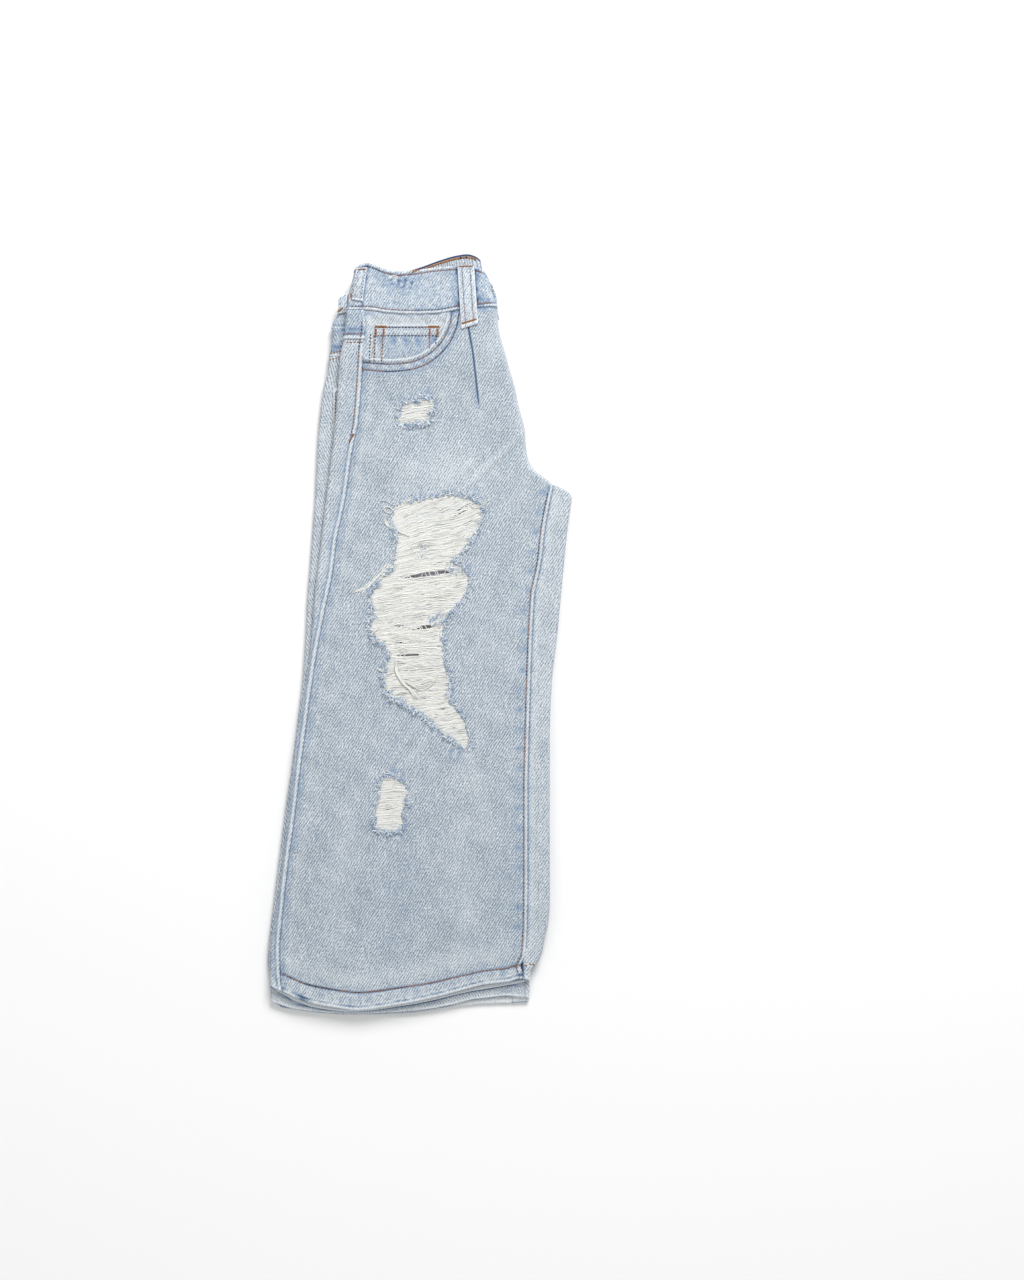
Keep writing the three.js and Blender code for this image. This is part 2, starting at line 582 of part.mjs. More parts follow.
// The origin is the middle of the outline, on the surface that the jeans lie on.
const box = new THREE.Box3().setFromObject(group);
const centre = box.getCenter(new THREE.Vector3());
for (const mesh of group.children) {
  mesh.geometry.translate(-centre.x, -centre.y, -box.min.z);
}

export default group;
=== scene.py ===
# %% [markdown]
# # Ripped jeans, folded in half and laid flat
# A child's wide-legged jeans lie on a pale floor, folded along the centre front. From the top
# the layers are the right front, the right back, the left back and the left front. The CAD
# holds a plain solid for every cut piece. This script gives each of them its cloth: seams,
# turned edges, puckers, stitching, worn-through places with bare threads, and the denim itself.
# Lengths are in millimetres until a mesh is made, because a tailor's sizes read best so.

import math

import bpy
import numpy as np
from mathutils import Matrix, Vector
from mathutils.bvhtree import BVHTree
from mathutils.geometry import delaunay_2d_cdt
from mathutils.kdtree import KDTree


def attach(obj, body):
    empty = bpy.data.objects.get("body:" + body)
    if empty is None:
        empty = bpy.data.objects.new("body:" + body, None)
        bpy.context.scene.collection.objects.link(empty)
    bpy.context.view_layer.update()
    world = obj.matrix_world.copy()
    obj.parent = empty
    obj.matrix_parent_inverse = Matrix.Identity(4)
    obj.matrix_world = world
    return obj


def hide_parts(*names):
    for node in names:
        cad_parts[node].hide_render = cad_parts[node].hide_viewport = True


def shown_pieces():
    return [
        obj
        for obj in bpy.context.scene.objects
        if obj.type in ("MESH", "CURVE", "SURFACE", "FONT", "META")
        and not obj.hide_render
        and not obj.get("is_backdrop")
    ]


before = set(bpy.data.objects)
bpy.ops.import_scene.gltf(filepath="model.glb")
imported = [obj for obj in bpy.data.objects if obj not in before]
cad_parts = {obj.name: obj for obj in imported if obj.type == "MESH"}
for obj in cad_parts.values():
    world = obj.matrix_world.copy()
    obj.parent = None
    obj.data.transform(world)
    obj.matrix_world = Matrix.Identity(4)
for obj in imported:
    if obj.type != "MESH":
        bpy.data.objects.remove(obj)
bpy.context.view_layer.update()

# %% Driving sizes, in millimetres
CLOTH = 1.2           # one layer of denim
BAND = 2.4            # waistband and hem, where the denim is turned double
SEAM_GAP = 0.3        # between two pieces at a seam
HEM_HEIGHT = 10.5     # depth of the turned hem
FOLD_RADIUS = 2.8     # how far a folded edge reaches out
FRONT_RADIUS = 5.0    # the same at the centre front, where the outer layers wrap all
FRONT_LOW = 0.75      # the front ends this far from the stack's middle plane
CROTCH_TOP = 141.0    # here the inseam starts to climb over the edge
CROTCH_LOW = 131.0    # and it lies on the face from here down
MIDDLE_GAP = 0.15     # the middle layer lies this far from the stack's middle plane
OUTER_LAYER = 2.2     # cloth further than this from the middle plane is the outer layer
BEHIND_FRONT = 1.3    # the back's edge lies this far behind the front's at the centre front
FAR = 99.0            # a distance at which a seam or a hem has no effect
ZERO = np.array([0.137, 0.896])   # where the tailor's origin lies in the frame

# %% [markdown]
# ## Edges and seams as curves
# A cut piece is known by its edges. Each edge is a short list of heights with the distance
# across at that height, as a tailor would mark them, and a curve is passed through the marks.
# A monotone cubic never swings past its marks, which a plain spline would do at the crotch.

# %% Curves through marks
def curve_through(marks):
    """A smooth function through marks, position: value, that never overshoots them."""
    t, v = np.array(sorted(marks.items()), float).T
    gap = np.diff(t)
    slope = np.diff(v) / gap
    tangent = np.concatenate([slope[:1], np.zeros(len(t) - 2), slope[-1:]])
    agree = slope[:-1] * slope[1:] > 0
    harmonic = 2 * slope[:-1] * slope[1:] / np.where(agree, slope[:-1] + slope[1:], 1)
    tangent[1:-1] = np.where(agree, harmonic, 0)

    def at(position):
        p = np.clip(position, t[0], t[-1])
        k = np.clip(np.searchsorted(t, p, side="right") - 1, 0, len(gap) - 1)
        s = (p - t[k]) / gap[k]
        rise = v[k] * (1 + 2 * s) * (1 - s) ** 2 + v[k + 1] * s * s * (3 - 2 * s)
        bend = tangent[k] * s * (1 - s) ** 2 - tangent[k + 1] * s * s * (1 - s)
        return rise + gap[k] * bend

    return at


def lerp(a, b, t):
    return a + (b - a) * t


def pairs(first, second):
    """Two rows of numbers as one column of pairs."""
    return np.stack([first, second], 1)


def smooth(start, end, value):
    """0 at start, 1 at end, with an easy start and end."""
    t = np.clip((value - start) / (end - start), 0, 1)
    return t * t * (3 - 2 * t)


def hump(distance, centre, width):
    """A soft ridge of height 1."""
    return np.exp(-(((distance - centre) / width) ** 2))


# Half the stack's thickness, how high its underside lies above the floor, and the room for the
# back pocket under the right half's middle layer, each by its place up the jeans.
half_height = curve_through({334: 8.2, 318: 8.2, 284: 9, 240: 8.6, 190: 7.8, 140: 6.9, 126: 6.5,
                             100: 6.5, -340: 6.5})
base_height = curve_through({334: 2.1, 252: 2.1, 212: 0, 200: 0, -340: 0})
pocket_room = curve_through({334: 0, 246: 0, 232: 1.4, 108: 1.4, 94: 0, -340: 0})


def middle(y):
    """Height of the stack's middle plane above the floor."""
    return base_height(y) + half_height(y)


# %% The two halves
class Half:
    """One half of the jeans. up is 1 for the right half, on top, and -1 for the left one."""

    def __init__(self, name, up, hem, **marks):
        self.name, self.up, self.hem = name, up, hem
        for edge, rows in marks.items():
            setattr(self, edge, curve_through(rows))


# %% Marks of the right half
RIGHT_EDGE = {334: 53, 322: 56, 315: 61, 301: 64, 289: 67.5, 276: 69, 259: 72, 241: 77, 224: 82,
              202: 87, 181: 92, 159: 94.5, 151: 97.5, 144: 102, 139.5: 109, 132.5: 118.3,
              128: 127, 125: 131.5, 120: 133.9, 108: 132.2, 93: 130, 73: 128, 31: 124, -4: 120.8,
              -39: 116.5, -89: 114.6, -233: 114.6, -257: 113, -266: 111, -288: 107, -298: 101.5,
              -305: 97.3, -311: 97.3}
RIGHT_BACK = {334: 47, 322: 52.5, 315: 54, 301: 57, 289: 60.5, 259: 65, 224: 75, 181: 85,
              159: 87.5, 144: 95, 134: 102}
RIGHT = Half(
    "right", 1, -311,
    fold={334: -56, 323: -56, 305: -60, 287: -62.5, 263: -65, 244: -69, 205: -72, 168: -75.5,
          118: -82, 70: -87.5, 37: -91.5, -9: -95, -59: -102.5, -99: -108.5, -140: -113,
          -186: -118.5, -220: -122.5, -250: -127, -275: -130, -306: -130.5},
    side={334: -50, 294: -50, 272: -46, 251: -48.5, 216: -51, 184: -54, 171: -57, 151: -60.5,
          126: -64, 105: -68, 85: -72.5, 56: -76, 27: -82, -21: -91, -70: -98, -118: -104.5,
          -160: -109.5, -203: -115.5, -240: -119.5, -278: -122.5, -297: -122, -311: -120.5},
    edge=RIGHT_EDGE,
    inseam={133: 118, 115: 114, 93: 110, 66: 107, 31: 100.5, -89: 96, -137: 95, -209: 95,
            -252: 94.5, -279: 93, -290: 88.5, -299: 91, -311: 91},
    back=RIGHT_BACK,
    hem_front={-131: -306, -120: -311, -99: -320, -75: -325, -54: -327.5, -17: -322.5, 15: -316,
               40: -309.3, 57: -305, 78: -302.5, 88: -299.8, 101: -302},
    hem_back={-131: -306, -115: -317, -95: -325, -60: -329.5, -17: -324.6, 9: -320, 42: -312,
              69: -307.6, 101: -301.5},
    waist_seam={-62: 284, -46: 284, -26: 281.5, -6: 280.5, 14: 281, 36: 284.5, 67: 287.4},
    band_front={-58: 317, -52.5: 323.3, -46: 325, -39: 323.3, -28: 319, -17: 317.5, 0: 319,
                14: 321, 34: 322.4, 49: 321.6, 56: 319, 61: 315},
    band_back={-58: 317, -50: 320, -30: 317, -12: 318.5, 2: 322.4, 19: 328.6, 34: 332.7,
               42: 333.7, 49: 332, 53: 329},
)
RIGHT.yoke_seam = 259.0
RIGHT.band_low, RIGHT.band_high = 284.0, 320.0

# %% Marks of the left half
LEFT = Half(
    "left", -1, -322,
    fold={320: -55, 299: -64, 293: -71, 285: -72, 276: -76, 254: -77.5, 247: -79, 232: -81.5,
          216: -85, 202: -86.8, 188: -88.4, 162: -90.2, 123: -92, 101: -93.6, 66: -96.2,
          31: -98.9, -4: -100.6, -39: -103.2, -74: -107.6, -109: -112, -144: -117.2, -179: -121.6,
          -214: -126, -249: -130.4, -275: -133.4, -288: -133.9, -305: -132.2, -319: -131.2},
    side={320: -44, 285: -58, 263: -61, 244: -62, 205: -67, 168: -71, 118: -75, 70: -81, 37: -87,
          -9: -94, -59: -99, -140: -110, -220: -120, -275: -126, -319: -123},
    edge={y: x for y, x in RIGHT_EDGE.items() if y > 134}
    | {128: 121, 121: 127.5, 115: 128.5, 93: 125, 73: 123, 31: 119, -4: 115.8, -39: 111.5,
       -89: 109.6, -233: 109.6, -257: 108, -275: 103, -288: 99.5, -300: 97.5, -322: 97.3},
    inseam={133: 113, 115: 110, 93: 106, 31: 98, -89: 91, -209: 90, -279: 86, -322: 82},
    back={y: x - 1 for y, x in RIGHT_BACK.items()},
    hem_front={-132: -319, -126: -323.5, -119: -327.2, -63: -333, -17: -333.4, 19: -328,
               53: -323.6, 84: -322.6, 98: -322},
    hem_back={-132: -319, -119: -326, -60: -331.5, -17: -330, 24.5: -324.8, 40: -320, 60: -317.4,
              80: -315.6, 98: -318},
    waist_seam={-77: 269, -46: 268, -6: 267, 36: 272, 67: 277},
    band_front={-72: 293, -64: 298.5, -52: 302, -20: 303, 20: 307, 50: 309, 60: 309},
    band_back={-72: 293, -64: 298.5, -52: 303, -20: 306, 20: 314, 52: 317},
)
LEFT.yoke_seam = 245.0
LEFT.band_low, LEFT.band_high = 270.0, 302.0
LEFT_SHIFT = np.array([-10.0, -13.0])   # the lower half lies this far off the upper one
RIGHT.shift, LEFT.shift = np.zeros(2), LEFT_SHIFT

# %% Worn-through places and pockets
RIPS = {
    "thigh": [[-12.5, 202], [-8, 203], [-3.5, 203], [2.6, 206], [8, 206.4], [12, 206],
              [10.4, 199.5], [8.2, 194.5], [7.2, 188], [-4, 187.2], [-17.6, 187.2],
              [-15.2, 194]],
    "knee": [[-14, 116], [8, 119], [30.6, 122.9], [50.8, 116], [54.2, 105.4], [48, 89.7],
             [37.6, 75.7], [28.4, 65.2], [37.6, 58.2], [42.9, 45], [35, 29.3], [22, 15.3],
             [20, -10], [24.9, -40.7], [25, -55.6], [36.8, -69.6], [42, -84.4],
             [40.2, -98.4], [29.8, -88.8], [17.5, -81.8], [6, -69.6], [-13, -57.8],
             [-28, -48], [-29, -31], [-25.4, -14.4], [-37.6, -2.2], [-42, 9.2],
             [-38.5, 16.2], [-42, 33.7], [-31.5, 46.8], [-21, 62.6], [-19.2, 89.7],
             [-22, 105.4]],
    "shin": [[-30.6, -124.7], [-17, -127.3], [-11.4, -139.6], [-14.9, -153.6],
             [-15.8, -166.7], [-36.2, -168.4], [-35, -141.8]],
}
SCOOP = [[24.8, 281.5], [22.8, 271.7], [17.5, 260.3], [9.6, 251.6], [0, 245.4],
         [-10.5, 242.3], [-26.2, 241.1], [-40, 242]]
SCOOP_LEFT_END = 242.8
FACING = [[-50, 285], [-46, 283.6], [-36, 282.4], [-26, 281.1], [-6, 280.1], [14, 280.6],
          [28, 282.8], [31, 268], [25, 253], [13, 241.5], [0, 235], [-12, 232.5], [-30, 231.5],
          [-49, 233], [-49.2, 243], [-49.2, 251], [-47, 265], [-46.8, 272]]
COIN_POCKET = [[-38, 271.4], [-10, 271.4], [18.6, 271.4], [17.4, 262], [14, 245.5], [0, 238],
               [-12, 235.5], [-30, 234.5], [-42, 236]]
BACK_POCKET = [[-75.5, 217], [14, 214], [13, 135], [-31, 119], [-74.5, 136]]


def path_through(points, step, closed=False):
    """Points every step along a rounded path through the given ones."""
    p = np.array(points, float)
    if closed:
        p = np.vstack([p[-1], p, p[0], p[1]])
    else:
        p = np.vstack([2 * p[0] - p[1], p, 2 * p[-1] - p[-2]])
    fine = []
    t = np.linspace(0, 1, 24, endpoint=False)[:, None]
    for a, b, c, d in zip(p[:-3], p[1:-2], p[2:-1], p[3:]):
        curve = 2 * b + (c - a) * t + (2 * a - 5 * b + 4 * c - d) * t ** 2
        fine.append((curve + (3 * b - a - 3 * c + d) * t ** 3) / 2)
    fine = np.vstack([*fine, p[-2]])
    return resampled(fine, step)[: -1 if closed else None]


def resampled(points, step):
    """Points at even steps along a polyline, its two ends kept."""
    run = np.concatenate([[0], np.cumsum(np.linalg.norm(np.diff(points, axis=0), axis=1))])
    count = max(2, round(run[-1] / step) + 1)
    at = np.linspace(0, run[-1], count)
    return np.stack([np.interp(at, run, points[:, k]) for k in range(points.shape[1])], 1)


print("knee rip outline:", len(path_through(RIPS["knee"], 0.9, closed=True)), "points")

# %% [markdown]
# ## The folded form
# Each piece is first flat, with u across and y up, and then rolled round the edges of the
# stack. u is the distance along the cloth, so a piece keeps its width when it goes round a
# fold. Every function here returns the place across, the height w above the middle plane,
# and the direction that the cloth faces. Writing this as formulas, not as a sculpt, lets all
# the pieces share their edges and lie on each other without touching.

# %% Rolling a piece round the stack's edges
def facing(x_part, w_part):
    length = np.hypot(x_part, w_part)
    return x_part / length, w_part / length


def face_of(y):
    """Height of a front's middle above the stack's middle plane."""
    return half_height(y) - CLOTH / 2


def centre_front(half, y):
    """Where the front starts to turn, its drop there, and the turn's mean radius."""
    drop = face_of(y) - FRONT_LOW
    return half.edge(y) - CLOTH / 2 - FRONT_RADIUS, drop, (FRONT_RADIUS + drop) / 2


def front_shape(half, u, y):
    """The front: flat, then round the centre front."""
    centre, drop, radius = centre_front(half, y)
    turn = np.clip((u - centre) / radius, 0, math.pi / 2)
    past = np.maximum(u - centre - radius * math.pi / 2, 0)
    x = np.where(u < centre, u, centre + FRONT_RADIUS * np.sin(turn))
    w = FRONT_LOW + drop * np.cos(turn) - past
    return x, w, *facing(drop * np.sin(turn), FRONT_RADIUS * np.cos(turn))


def crotch_climb(y):
    return np.clip((CROTCH_TOP - y) / (CROTCH_TOP - CROTCH_LOW), 0, 1)


def front_end(half, y):
    """u of the front's free edge: at the middle plane, and below the crotch on the face."""
    centre, _, radius = centre_front(half, y)
    limit = half.edge(y) - FOLD_RADIUS - CLOTH / 2
    on_face = np.minimum(half.inseam(y), limit) - SEAM_GAP / 2
    face_turn = np.arcsin(np.clip((on_face - centre) / FRONT_RADIUS, 0, 1))
    turn = lerp(math.pi / 2, face_turn, crotch_climb(y))
    low = (y <= CROTCH_LOW) & (on_face < centre)
    return np.where(low, on_face, centre + turn * radius)


# %% Layers, the side fold and the inseam
def layers(half, y):
    """The face, the middle layer, half-way between them and half their distance."""
    top = face_of(y)
    low = MIDDLE_GAP + CLOTH / 2 + (pocket_room(y) if half.up > 0 else 0)
    return top, low, (top + low) / 2, (top - low) / 2


def turn_length(radius):
    """Length of the cloth from one layer round a folded edge to the next."""
    return math.pi * (radius + FOLD_RADIUS) / 2


def side_fold(half, y):
    """Where the cloth starts to turn round the side fold, and the length of the turn."""
    return half.fold(y) + CLOTH / 2 + FOLD_RADIUS, turn_length(layers(half, y)[3])


def fold_shape(half, u, y):
    """The back's side part: the face, the side fold and, below it, the middle layer."""
    mid, radius = layers(half, y)[2:]
    left, length = side_fold(half, y)
    turn = np.clip((left - u) / length, 0, 1) * math.pi
    past = np.maximum(left - length - u, 0)
    x = np.where(u >= left, u, left - FOLD_RADIUS * np.sin(turn) + past)
    w = mid + radius * np.cos(turn)
    return x, w, *facing(-radius * np.sin(turn), FOLD_RADIUS * np.cos(turn) + 0 * u)


def inseam_shape(half, v, y):
    """The back's inner part: v is 0 where the middle layer starts to turn up."""
    mid, radius = layers(half, y)[2:]
    edge = half.edge(y) - CLOTH / 2 - FOLD_RADIUS
    right = lerp(np.minimum(half.back(y), edge), edge, crotch_climb(y))
    length = turn_length(radius)
    turn = np.clip(v / length, 0, 1) * math.pi
    x = np.where(v < 0, right + v, right + FOLD_RADIUS * np.sin(turn))
    x = np.where(v > length, right - (v - length), x)
    w = mid - radius * np.cos(turn)
    return x, w, *facing(radius * np.sin(turn), -FOLD_RADIUS * np.cos(turn) + 0 * v)


def inseam_end(half, y):
    """v of the back's free edge: just behind the front's, and below the crotch on the face."""
    mid, radius = layers(half, y)[2:]
    length = turn_length(radius)
    edge = half.edge(y) - CLOTH / 2 - FOLD_RADIUS
    front_w = front_shape(half, front_end(half, y), y)[1]
    turn = np.arccos(np.clip((mid - front_w + BEHIND_FRONT) / radius, -1, 1))
    behind = np.maximum(turn, 0.12) / math.pi * length
    on_face = length + np.maximum(edge - half.inseam(y) - SEAM_GAP / 2, 0.3)
    return lerp(behind, on_face, smooth(134, 130, y))


# %% From the folded form to the frame
def in_frame(x, y, z):
    """Points in the frame's own place, from the tailor's x and y and a height."""
    return np.stack([x + ZERO[0], y + ZERO[1], z], -1)


def placed(half, shape, y, offset, hem_y=None):
    """Points of folded cloth, moved out of the cloth's middle by an offset."""
    x, w, across, up = shape
    z = middle(y) + half.up * (w + up * offset)
    return in_frame(x + across * offset, y if hem_y is None else hem_y, z)


print("right centre front, halfway up:", placed(RIGHT, front_shape(RIGHT, 90.0, 200.0), 200.0, 0))

# %% [markdown]
# ## From a pattern to a cloth shell
# Denim has two faces and an edge. A shell is made of both: the outer face and the inner face,
# each a copy of the same flat pattern, and a rim that bulges a little between them. Solidify
# could do it, but two explicit faces let the cloth grow thin at a worn edge and thick at a
# hem, and let the inside have its own colour through an attribute.

# %% Shell of cloth
def boundary(faces):
    """Directed edges that only one face uses."""
    ring = np.roll(faces, -1, axis=1)
    edges = pairs(faces.ravel(), ring.ravel())
    count = edges.max() + 1
    key, back = edges[:, 0] * count + edges[:, 1], edges[:, 1] * count + edges[:, 0]
    return edges[~np.isin(key, back)]


def face_normals(points, faces):
    a, b, c = (points[faces[:, k]] for k in (0, 1, 2))
    return np.cross(b - a, c - a)


def in_scene(name, data):
    """A new object of some data, linked to the scene."""
    thing = bpy.data.objects.new(name, data)
    bpy.context.scene.collection.objects.link(thing)
    return thing


def give(mesh, key, values):
    """A number or a vector at each point of a mesh."""
    values = np.asarray(values, np.float32)
    kind, part = ("FLOAT", "value") if values.ndim == 1 else ("FLOAT_VECTOR", "vector")
    mesh.attributes.new(key, kind, "POINT").data.foreach_set(part, values.ravel())


def new_mesh(name, points, faces, uv=None, values=None, sharp=None):
    """A mesh object, from points in millimetres."""
    mesh = bpy.data.meshes.new(name)
    mesh.from_pydata(points / 1000, [], [f.tolist() for group in faces for f in group])
    mesh.shade_smooth()
    if uv is not None:
        index = np.zeros(len(mesh.loops), int)
        mesh.loops.foreach_get("vertex_index", index)
        layer = mesh.uv_layers.new(name="cloth")
        layer.data.foreach_set("uv", (uv[index] / 1000).astype(np.float32).ravel())
    for key, value in (values or {}).items():
        give(mesh, key, value)
    if sharp is not None:
        mesh.set_sharp_from_angle(angle=math.radians(sharp))
    return in_scene(name, mesh)


# %% Outer face, inner face and rim
shells = {}
RIM_BULGE = 0.32      # of the cloth's thickness


def shell(name, outer, inner, faces, uv, fade, wear_and_shading, hem=FAR, under=FAR):
    """A closed shell between two faces, its rim bulging a third of the cloth's thickness.

    Near a hem, at the distances hem, the outer side of the denim is turned in. There the inner face
    is painted paler and whiter, which is painted light against the shade it lies in. A dark line of
    painted shadow lies where it comes out from under another edge, at the distances under."""
    normal = face_normals(outer, faces)
    if (normal * (outer - inner)[faces[:, 0]]).sum() < 0:
        faces = faces[:, ::-1]
    rim = boundary(faces)
    used, place = np.unique(rim, return_inverse=True)
    place = place.reshape(rim.shape)
    tangent = outer[rim[:, 1]] - outer[rim[:, 0]]
    away = np.cross(tangent, (outer - inner)[rim[:, 0]])
    away /= np.linalg.norm(away, axis=1)[:, None] + 1e-9
    bulge = np.zeros((len(used), 3))
    for k in (0, 1):
        np.add.at(bulge, place[:, k], away)
    bulge /= np.linalg.norm(bulge, axis=1)[:, None] + 1e-9
    thick = np.linalg.norm(outer - inner, axis=1)[used][:, None]
    edge = (outer + inner)[used] / 2 + bulge * thick * RIM_BULGE
    n = len(outer)
    turned_in = smooth(HEM_HEIGHT + 4, HEM_HEIGHT + 3, hem + np.zeros(n))
    # Painted light and shadow: the turned-in face is whitened near the hem and darkened in a line
    # at the distances under.
    within = turned_in * (smooth(HEM_HEIGHT + 3, 4, hem) - 3 * hump(under, 0.5, 1.2))
    a, b = rim.T
    ma, mb = place.T + 2 * n
    rims = [np.stack([b, a, ma, mb], 1), np.stack([mb, ma, a + n, b + n], 1)]
    points = np.vstack([outer, inner, edge])
    # Painted light: the turned-in face near a hem is made paler than its own colour.
    paler = fade + 0.4 * smooth(HEM_HEIGHT + 3, 4, hem)
    values = {
        "fade": np.concatenate([fade, paler, fade[used]]),
        "wear_and_shading": np.concatenate([wear_and_shading, within, wear_and_shading[used]]),
        "inside": np.concatenate([np.zeros(n), 1 - turned_in, 0.35 * (1 - turned_in[used])]),
    }
    coords = np.vstack([uv, uv, uv[used]])
    made = new_mesh(name, points, [faces, faces[:, ::-1] + n, *rims], coords, values, 62)
    shells[name] = made
    return made


# %% Triangles inside a pattern's outline
def in_outline(points, outline):
    """Which of the points lie inside a closed outline."""
    ax, ay = outline.T
    bx, by = np.roll(outline, -1, axis=0).T
    result = []
    for part in np.array_split(points, max(1, len(points) // 3000)):
        x, y = part[:, :1], part[:, 1:]
        crosses = (ay > y) != (by > y)
        at = ax + (y - ay) * (bx - ax) / np.where(np.abs(by - ay) < 1e-9, 1e-9, by - ay)
        result.append((crosses & (x < at)).sum(1) % 2 == 1)
    return np.concatenate(result)


def line_distance(points, line):
    """Distance of each point to a polyline, and how far along the line that is."""
    a, step = line[:-1], np.diff(line, axis=0)
    size = np.maximum(np.linalg.norm(step, axis=1), 1e-9)
    run = np.concatenate([[0], np.cumsum(size)[:-1]])
    near, along = [], []
    for part in np.array_split(points, max(1, len(points) // 2000)):
        offset = part[:, None] - a[None]
        t = np.clip((offset * step).sum(2) / size ** 2, 0, 1)
        gap = np.linalg.norm(offset - t[..., None] * step, axis=2)
        k = gap.argmin(1)
        rows = np.arange(len(part))
        near.append(gap[rows, k])
        along.append(run[k] + t[rows, k] * size[k])
    return np.concatenate(near), np.concatenate(along)


def ring_distance(points, outline):
    """Distance to a closed outline, negative inside it."""
    gap = line_distance(points, np.vstack([outline, outline[:1]]))[0]
    return np.where(in_outline(points, outline), -gap, gap)


def search_tree(points):
    """A tree that finds the nearest of some flat points."""
    tree = KDTree(len(points))
    for k, (x, y) in enumerate(points):
        tree.insert((x, y, 0), k)
    tree.balance()
    return tree


def far_from(points, others, reach):
    """Which of the points have none of the others within reach."""
    tree = search_tree(others)
    return np.array([tree.find((x, y, 0))[2] > reach for x, y in points])


# %% Filling a pattern with triangles
def pattern(outline, holes=(), lines=(), spacing=2.6, seed=1):
    """Flat points and triangles of a pattern, finer along its edges and given lines."""
    rng = np.random.default_rng(seed)
    loops = [outline, *holes]

    def within(points):
        keep = in_outline(points, outline)
        for hole in holes:
            keep &= ~in_outline(points, hole)
        return keep

    edge = np.vstack(loops)
    fixed = edge
    if len(lines):
        drawn = np.vstack(lines)
        drawn = drawn[within(drawn)]
        fixed = np.vstack([edge, drawn[far_from(drawn, edge, 0.4)]])
    low, high = outline.min(0), outline.max(0)
    x, y = np.meshgrid(np.arange(low[0], high[0], spacing),
                       np.arange(low[1], high[1], spacing * 0.866))
    x[::2] += spacing / 2
    field = pairs(x.ravel(), y.ravel())
    field += rng.uniform(-0.18, 0.18, field.shape) * spacing
    field = field[within(field)]
    field = field[far_from(field, fixed, spacing * 0.6)]
    points = np.vstack([fixed, field])
    edges, start = [], 0
    for loop in loops:
        count = len(loop)
        edges += [(start + k, start + (k + 1) % count) for k in range(count)]
        start += count
    made = delaunay_2d_cdt([Vector(p) for p in points], edges, [], 0, 1e-4)
    points, faces = np.array([tuple(p) for p in made[0]]), np.array(made[2])
    faces = faces[within(points[faces].mean(1))]
    used, faces = np.unique(faces, return_inverse=True)
    return points[used], faces.reshape(-1, 3)


# %% [markdown]
# ## Creases
# Worn denim that is smoothed flat by hand keeps a few long soft creases, pulled from where it is
# held: from the crotch to the knee, and down from the holes. A cloth simulation of a folded garment
# tends to inflate it, so these are placed one by one, each a trough or ridge along a line, and a
# slow swell under them keeps the flat areas from looking ironed.

# %% Creases and the slow swell
CREASES = [  # from x, y to x, y, width and height
    (88, 175, 36, 124, 2.4, 1.0), (93, 172, 42, 124, 2.0, -0.7), (78, 172, 32, 128, 2.0, -0.5),
    (104, 150, 66, 98, 6, 0.7), (66, 168, 26, 134, 2.4, 0.6),
    (-6, -74, -34, -114, 2.6, -1.2), (-2, -78, -28, -116, 2.2, 1.0), (11, -86, -20, -122, 2.6, 1.1),
    (26, -84, -4, -128, 3.0, -0.8), (-30, 20, -62, 60, 6, 0.6), (-40, -10, -70, -40, 7, -0.5),
    (52, 60, 84, 104, 7, -0.6), (48, 10, 80, -30, 9, 0.6), (40, -100, 66, -190, 10, 0.7),
    (-60, -150, -78, -272, 12, 0.6), (-14, -175, -22, -290, 14, -0.7),
    (28, -150, 44, -286, 13, 0.7), (72, -120, 78, -262, 9, -0.6), (-20, 184, -58, 150, 8, 0.6),
    (6, 186, 2, 132, 9, -0.5), (20, 228, 52, 190, 8, 0.5), (-30, 226, -48, 200, 5, -0.4),
    (66, 262, 58, 222, 5, 0.6), (60, 306, 52, 290, 5, 0.5), (-26, 312, -16, 290, 6, -0.4),
]


def swell(x, y, size, seed):
    """A slow random swell between about -1 and 1, the sum of a few waves."""
    rng, count = np.random.default_rng(seed), 7
    total = np.zeros(np.broadcast(x, y).shape)
    for angle, stretch, phase in rng.uniform([0, 0.6, 0], [6.28, 1.5, 6.28], (count, 3)):
        run = (x * math.cos(angle) + y * math.sin(angle)) * 2 * math.pi / (size * stretch)
        total += np.sin(run + phase)
    return total / math.sqrt(count) / 1.2


def crease_lines(half, x, y):
    """Height of the creases alone, which also shows where the indigo is rubbed off."""
    px, py = x - half.shift[0], y - half.shift[1]
    total = 0.0
    for x0, y0, x1, y1, width, height in CREASES:
        length = math.hypot(x1 - x0, y1 - y0)
        dx, dy = (x1 - x0) / length, (y1 - y0) / length
        along = ((px - x0) * dx + (py - y0) * dy) / length
        across = (px - x0) * dy - (py - y0) * dx
        ends = smooth(-0.25, 0.35, along) * smooth(1.25, 0.65, along)
        total = total + height * ends * hump(across, 0, width)
    return total


def creases(half, x, y):
    """Height of the creases and the swell at a place on either half."""
    px, py = x - half.shift[0], y - half.shift[1]
    return crease_lines(half, x, y) + 0.42 * swell(px, py, 75, 4) + 0.2 * swell(px, py, 28, 9)


def grain_noise(x, y, size, seed):
    """Cheap uneven noise from 0 to 1, for wear and fading."""
    fine = swell(x, y, size, seed) + 0.6 * swell(x, y, size / 2.3, seed + 1)
    return np.clip(0.5 + 0.42 * fine, 0, 1)


base_fade = curve_through({-340: 0.62, -300: 0.52, -250: 0.43, -100: 0.49, 60: 0.5, 140: 0.5,
                           230: 0.47, 290: 0.52, 340: 0.54})


def fading(x, y):
    """How far the indigo is washed out: most on the thighs and waistband, least low down."""
    thigh = 0.28 * hump(x, 20, 36) * hump(y, 146, 22)
    return base_fade(y) + thigh + 0.05 * swell(x, y, 46, 21) + 0.05 * swell(x, y, 17, 23)


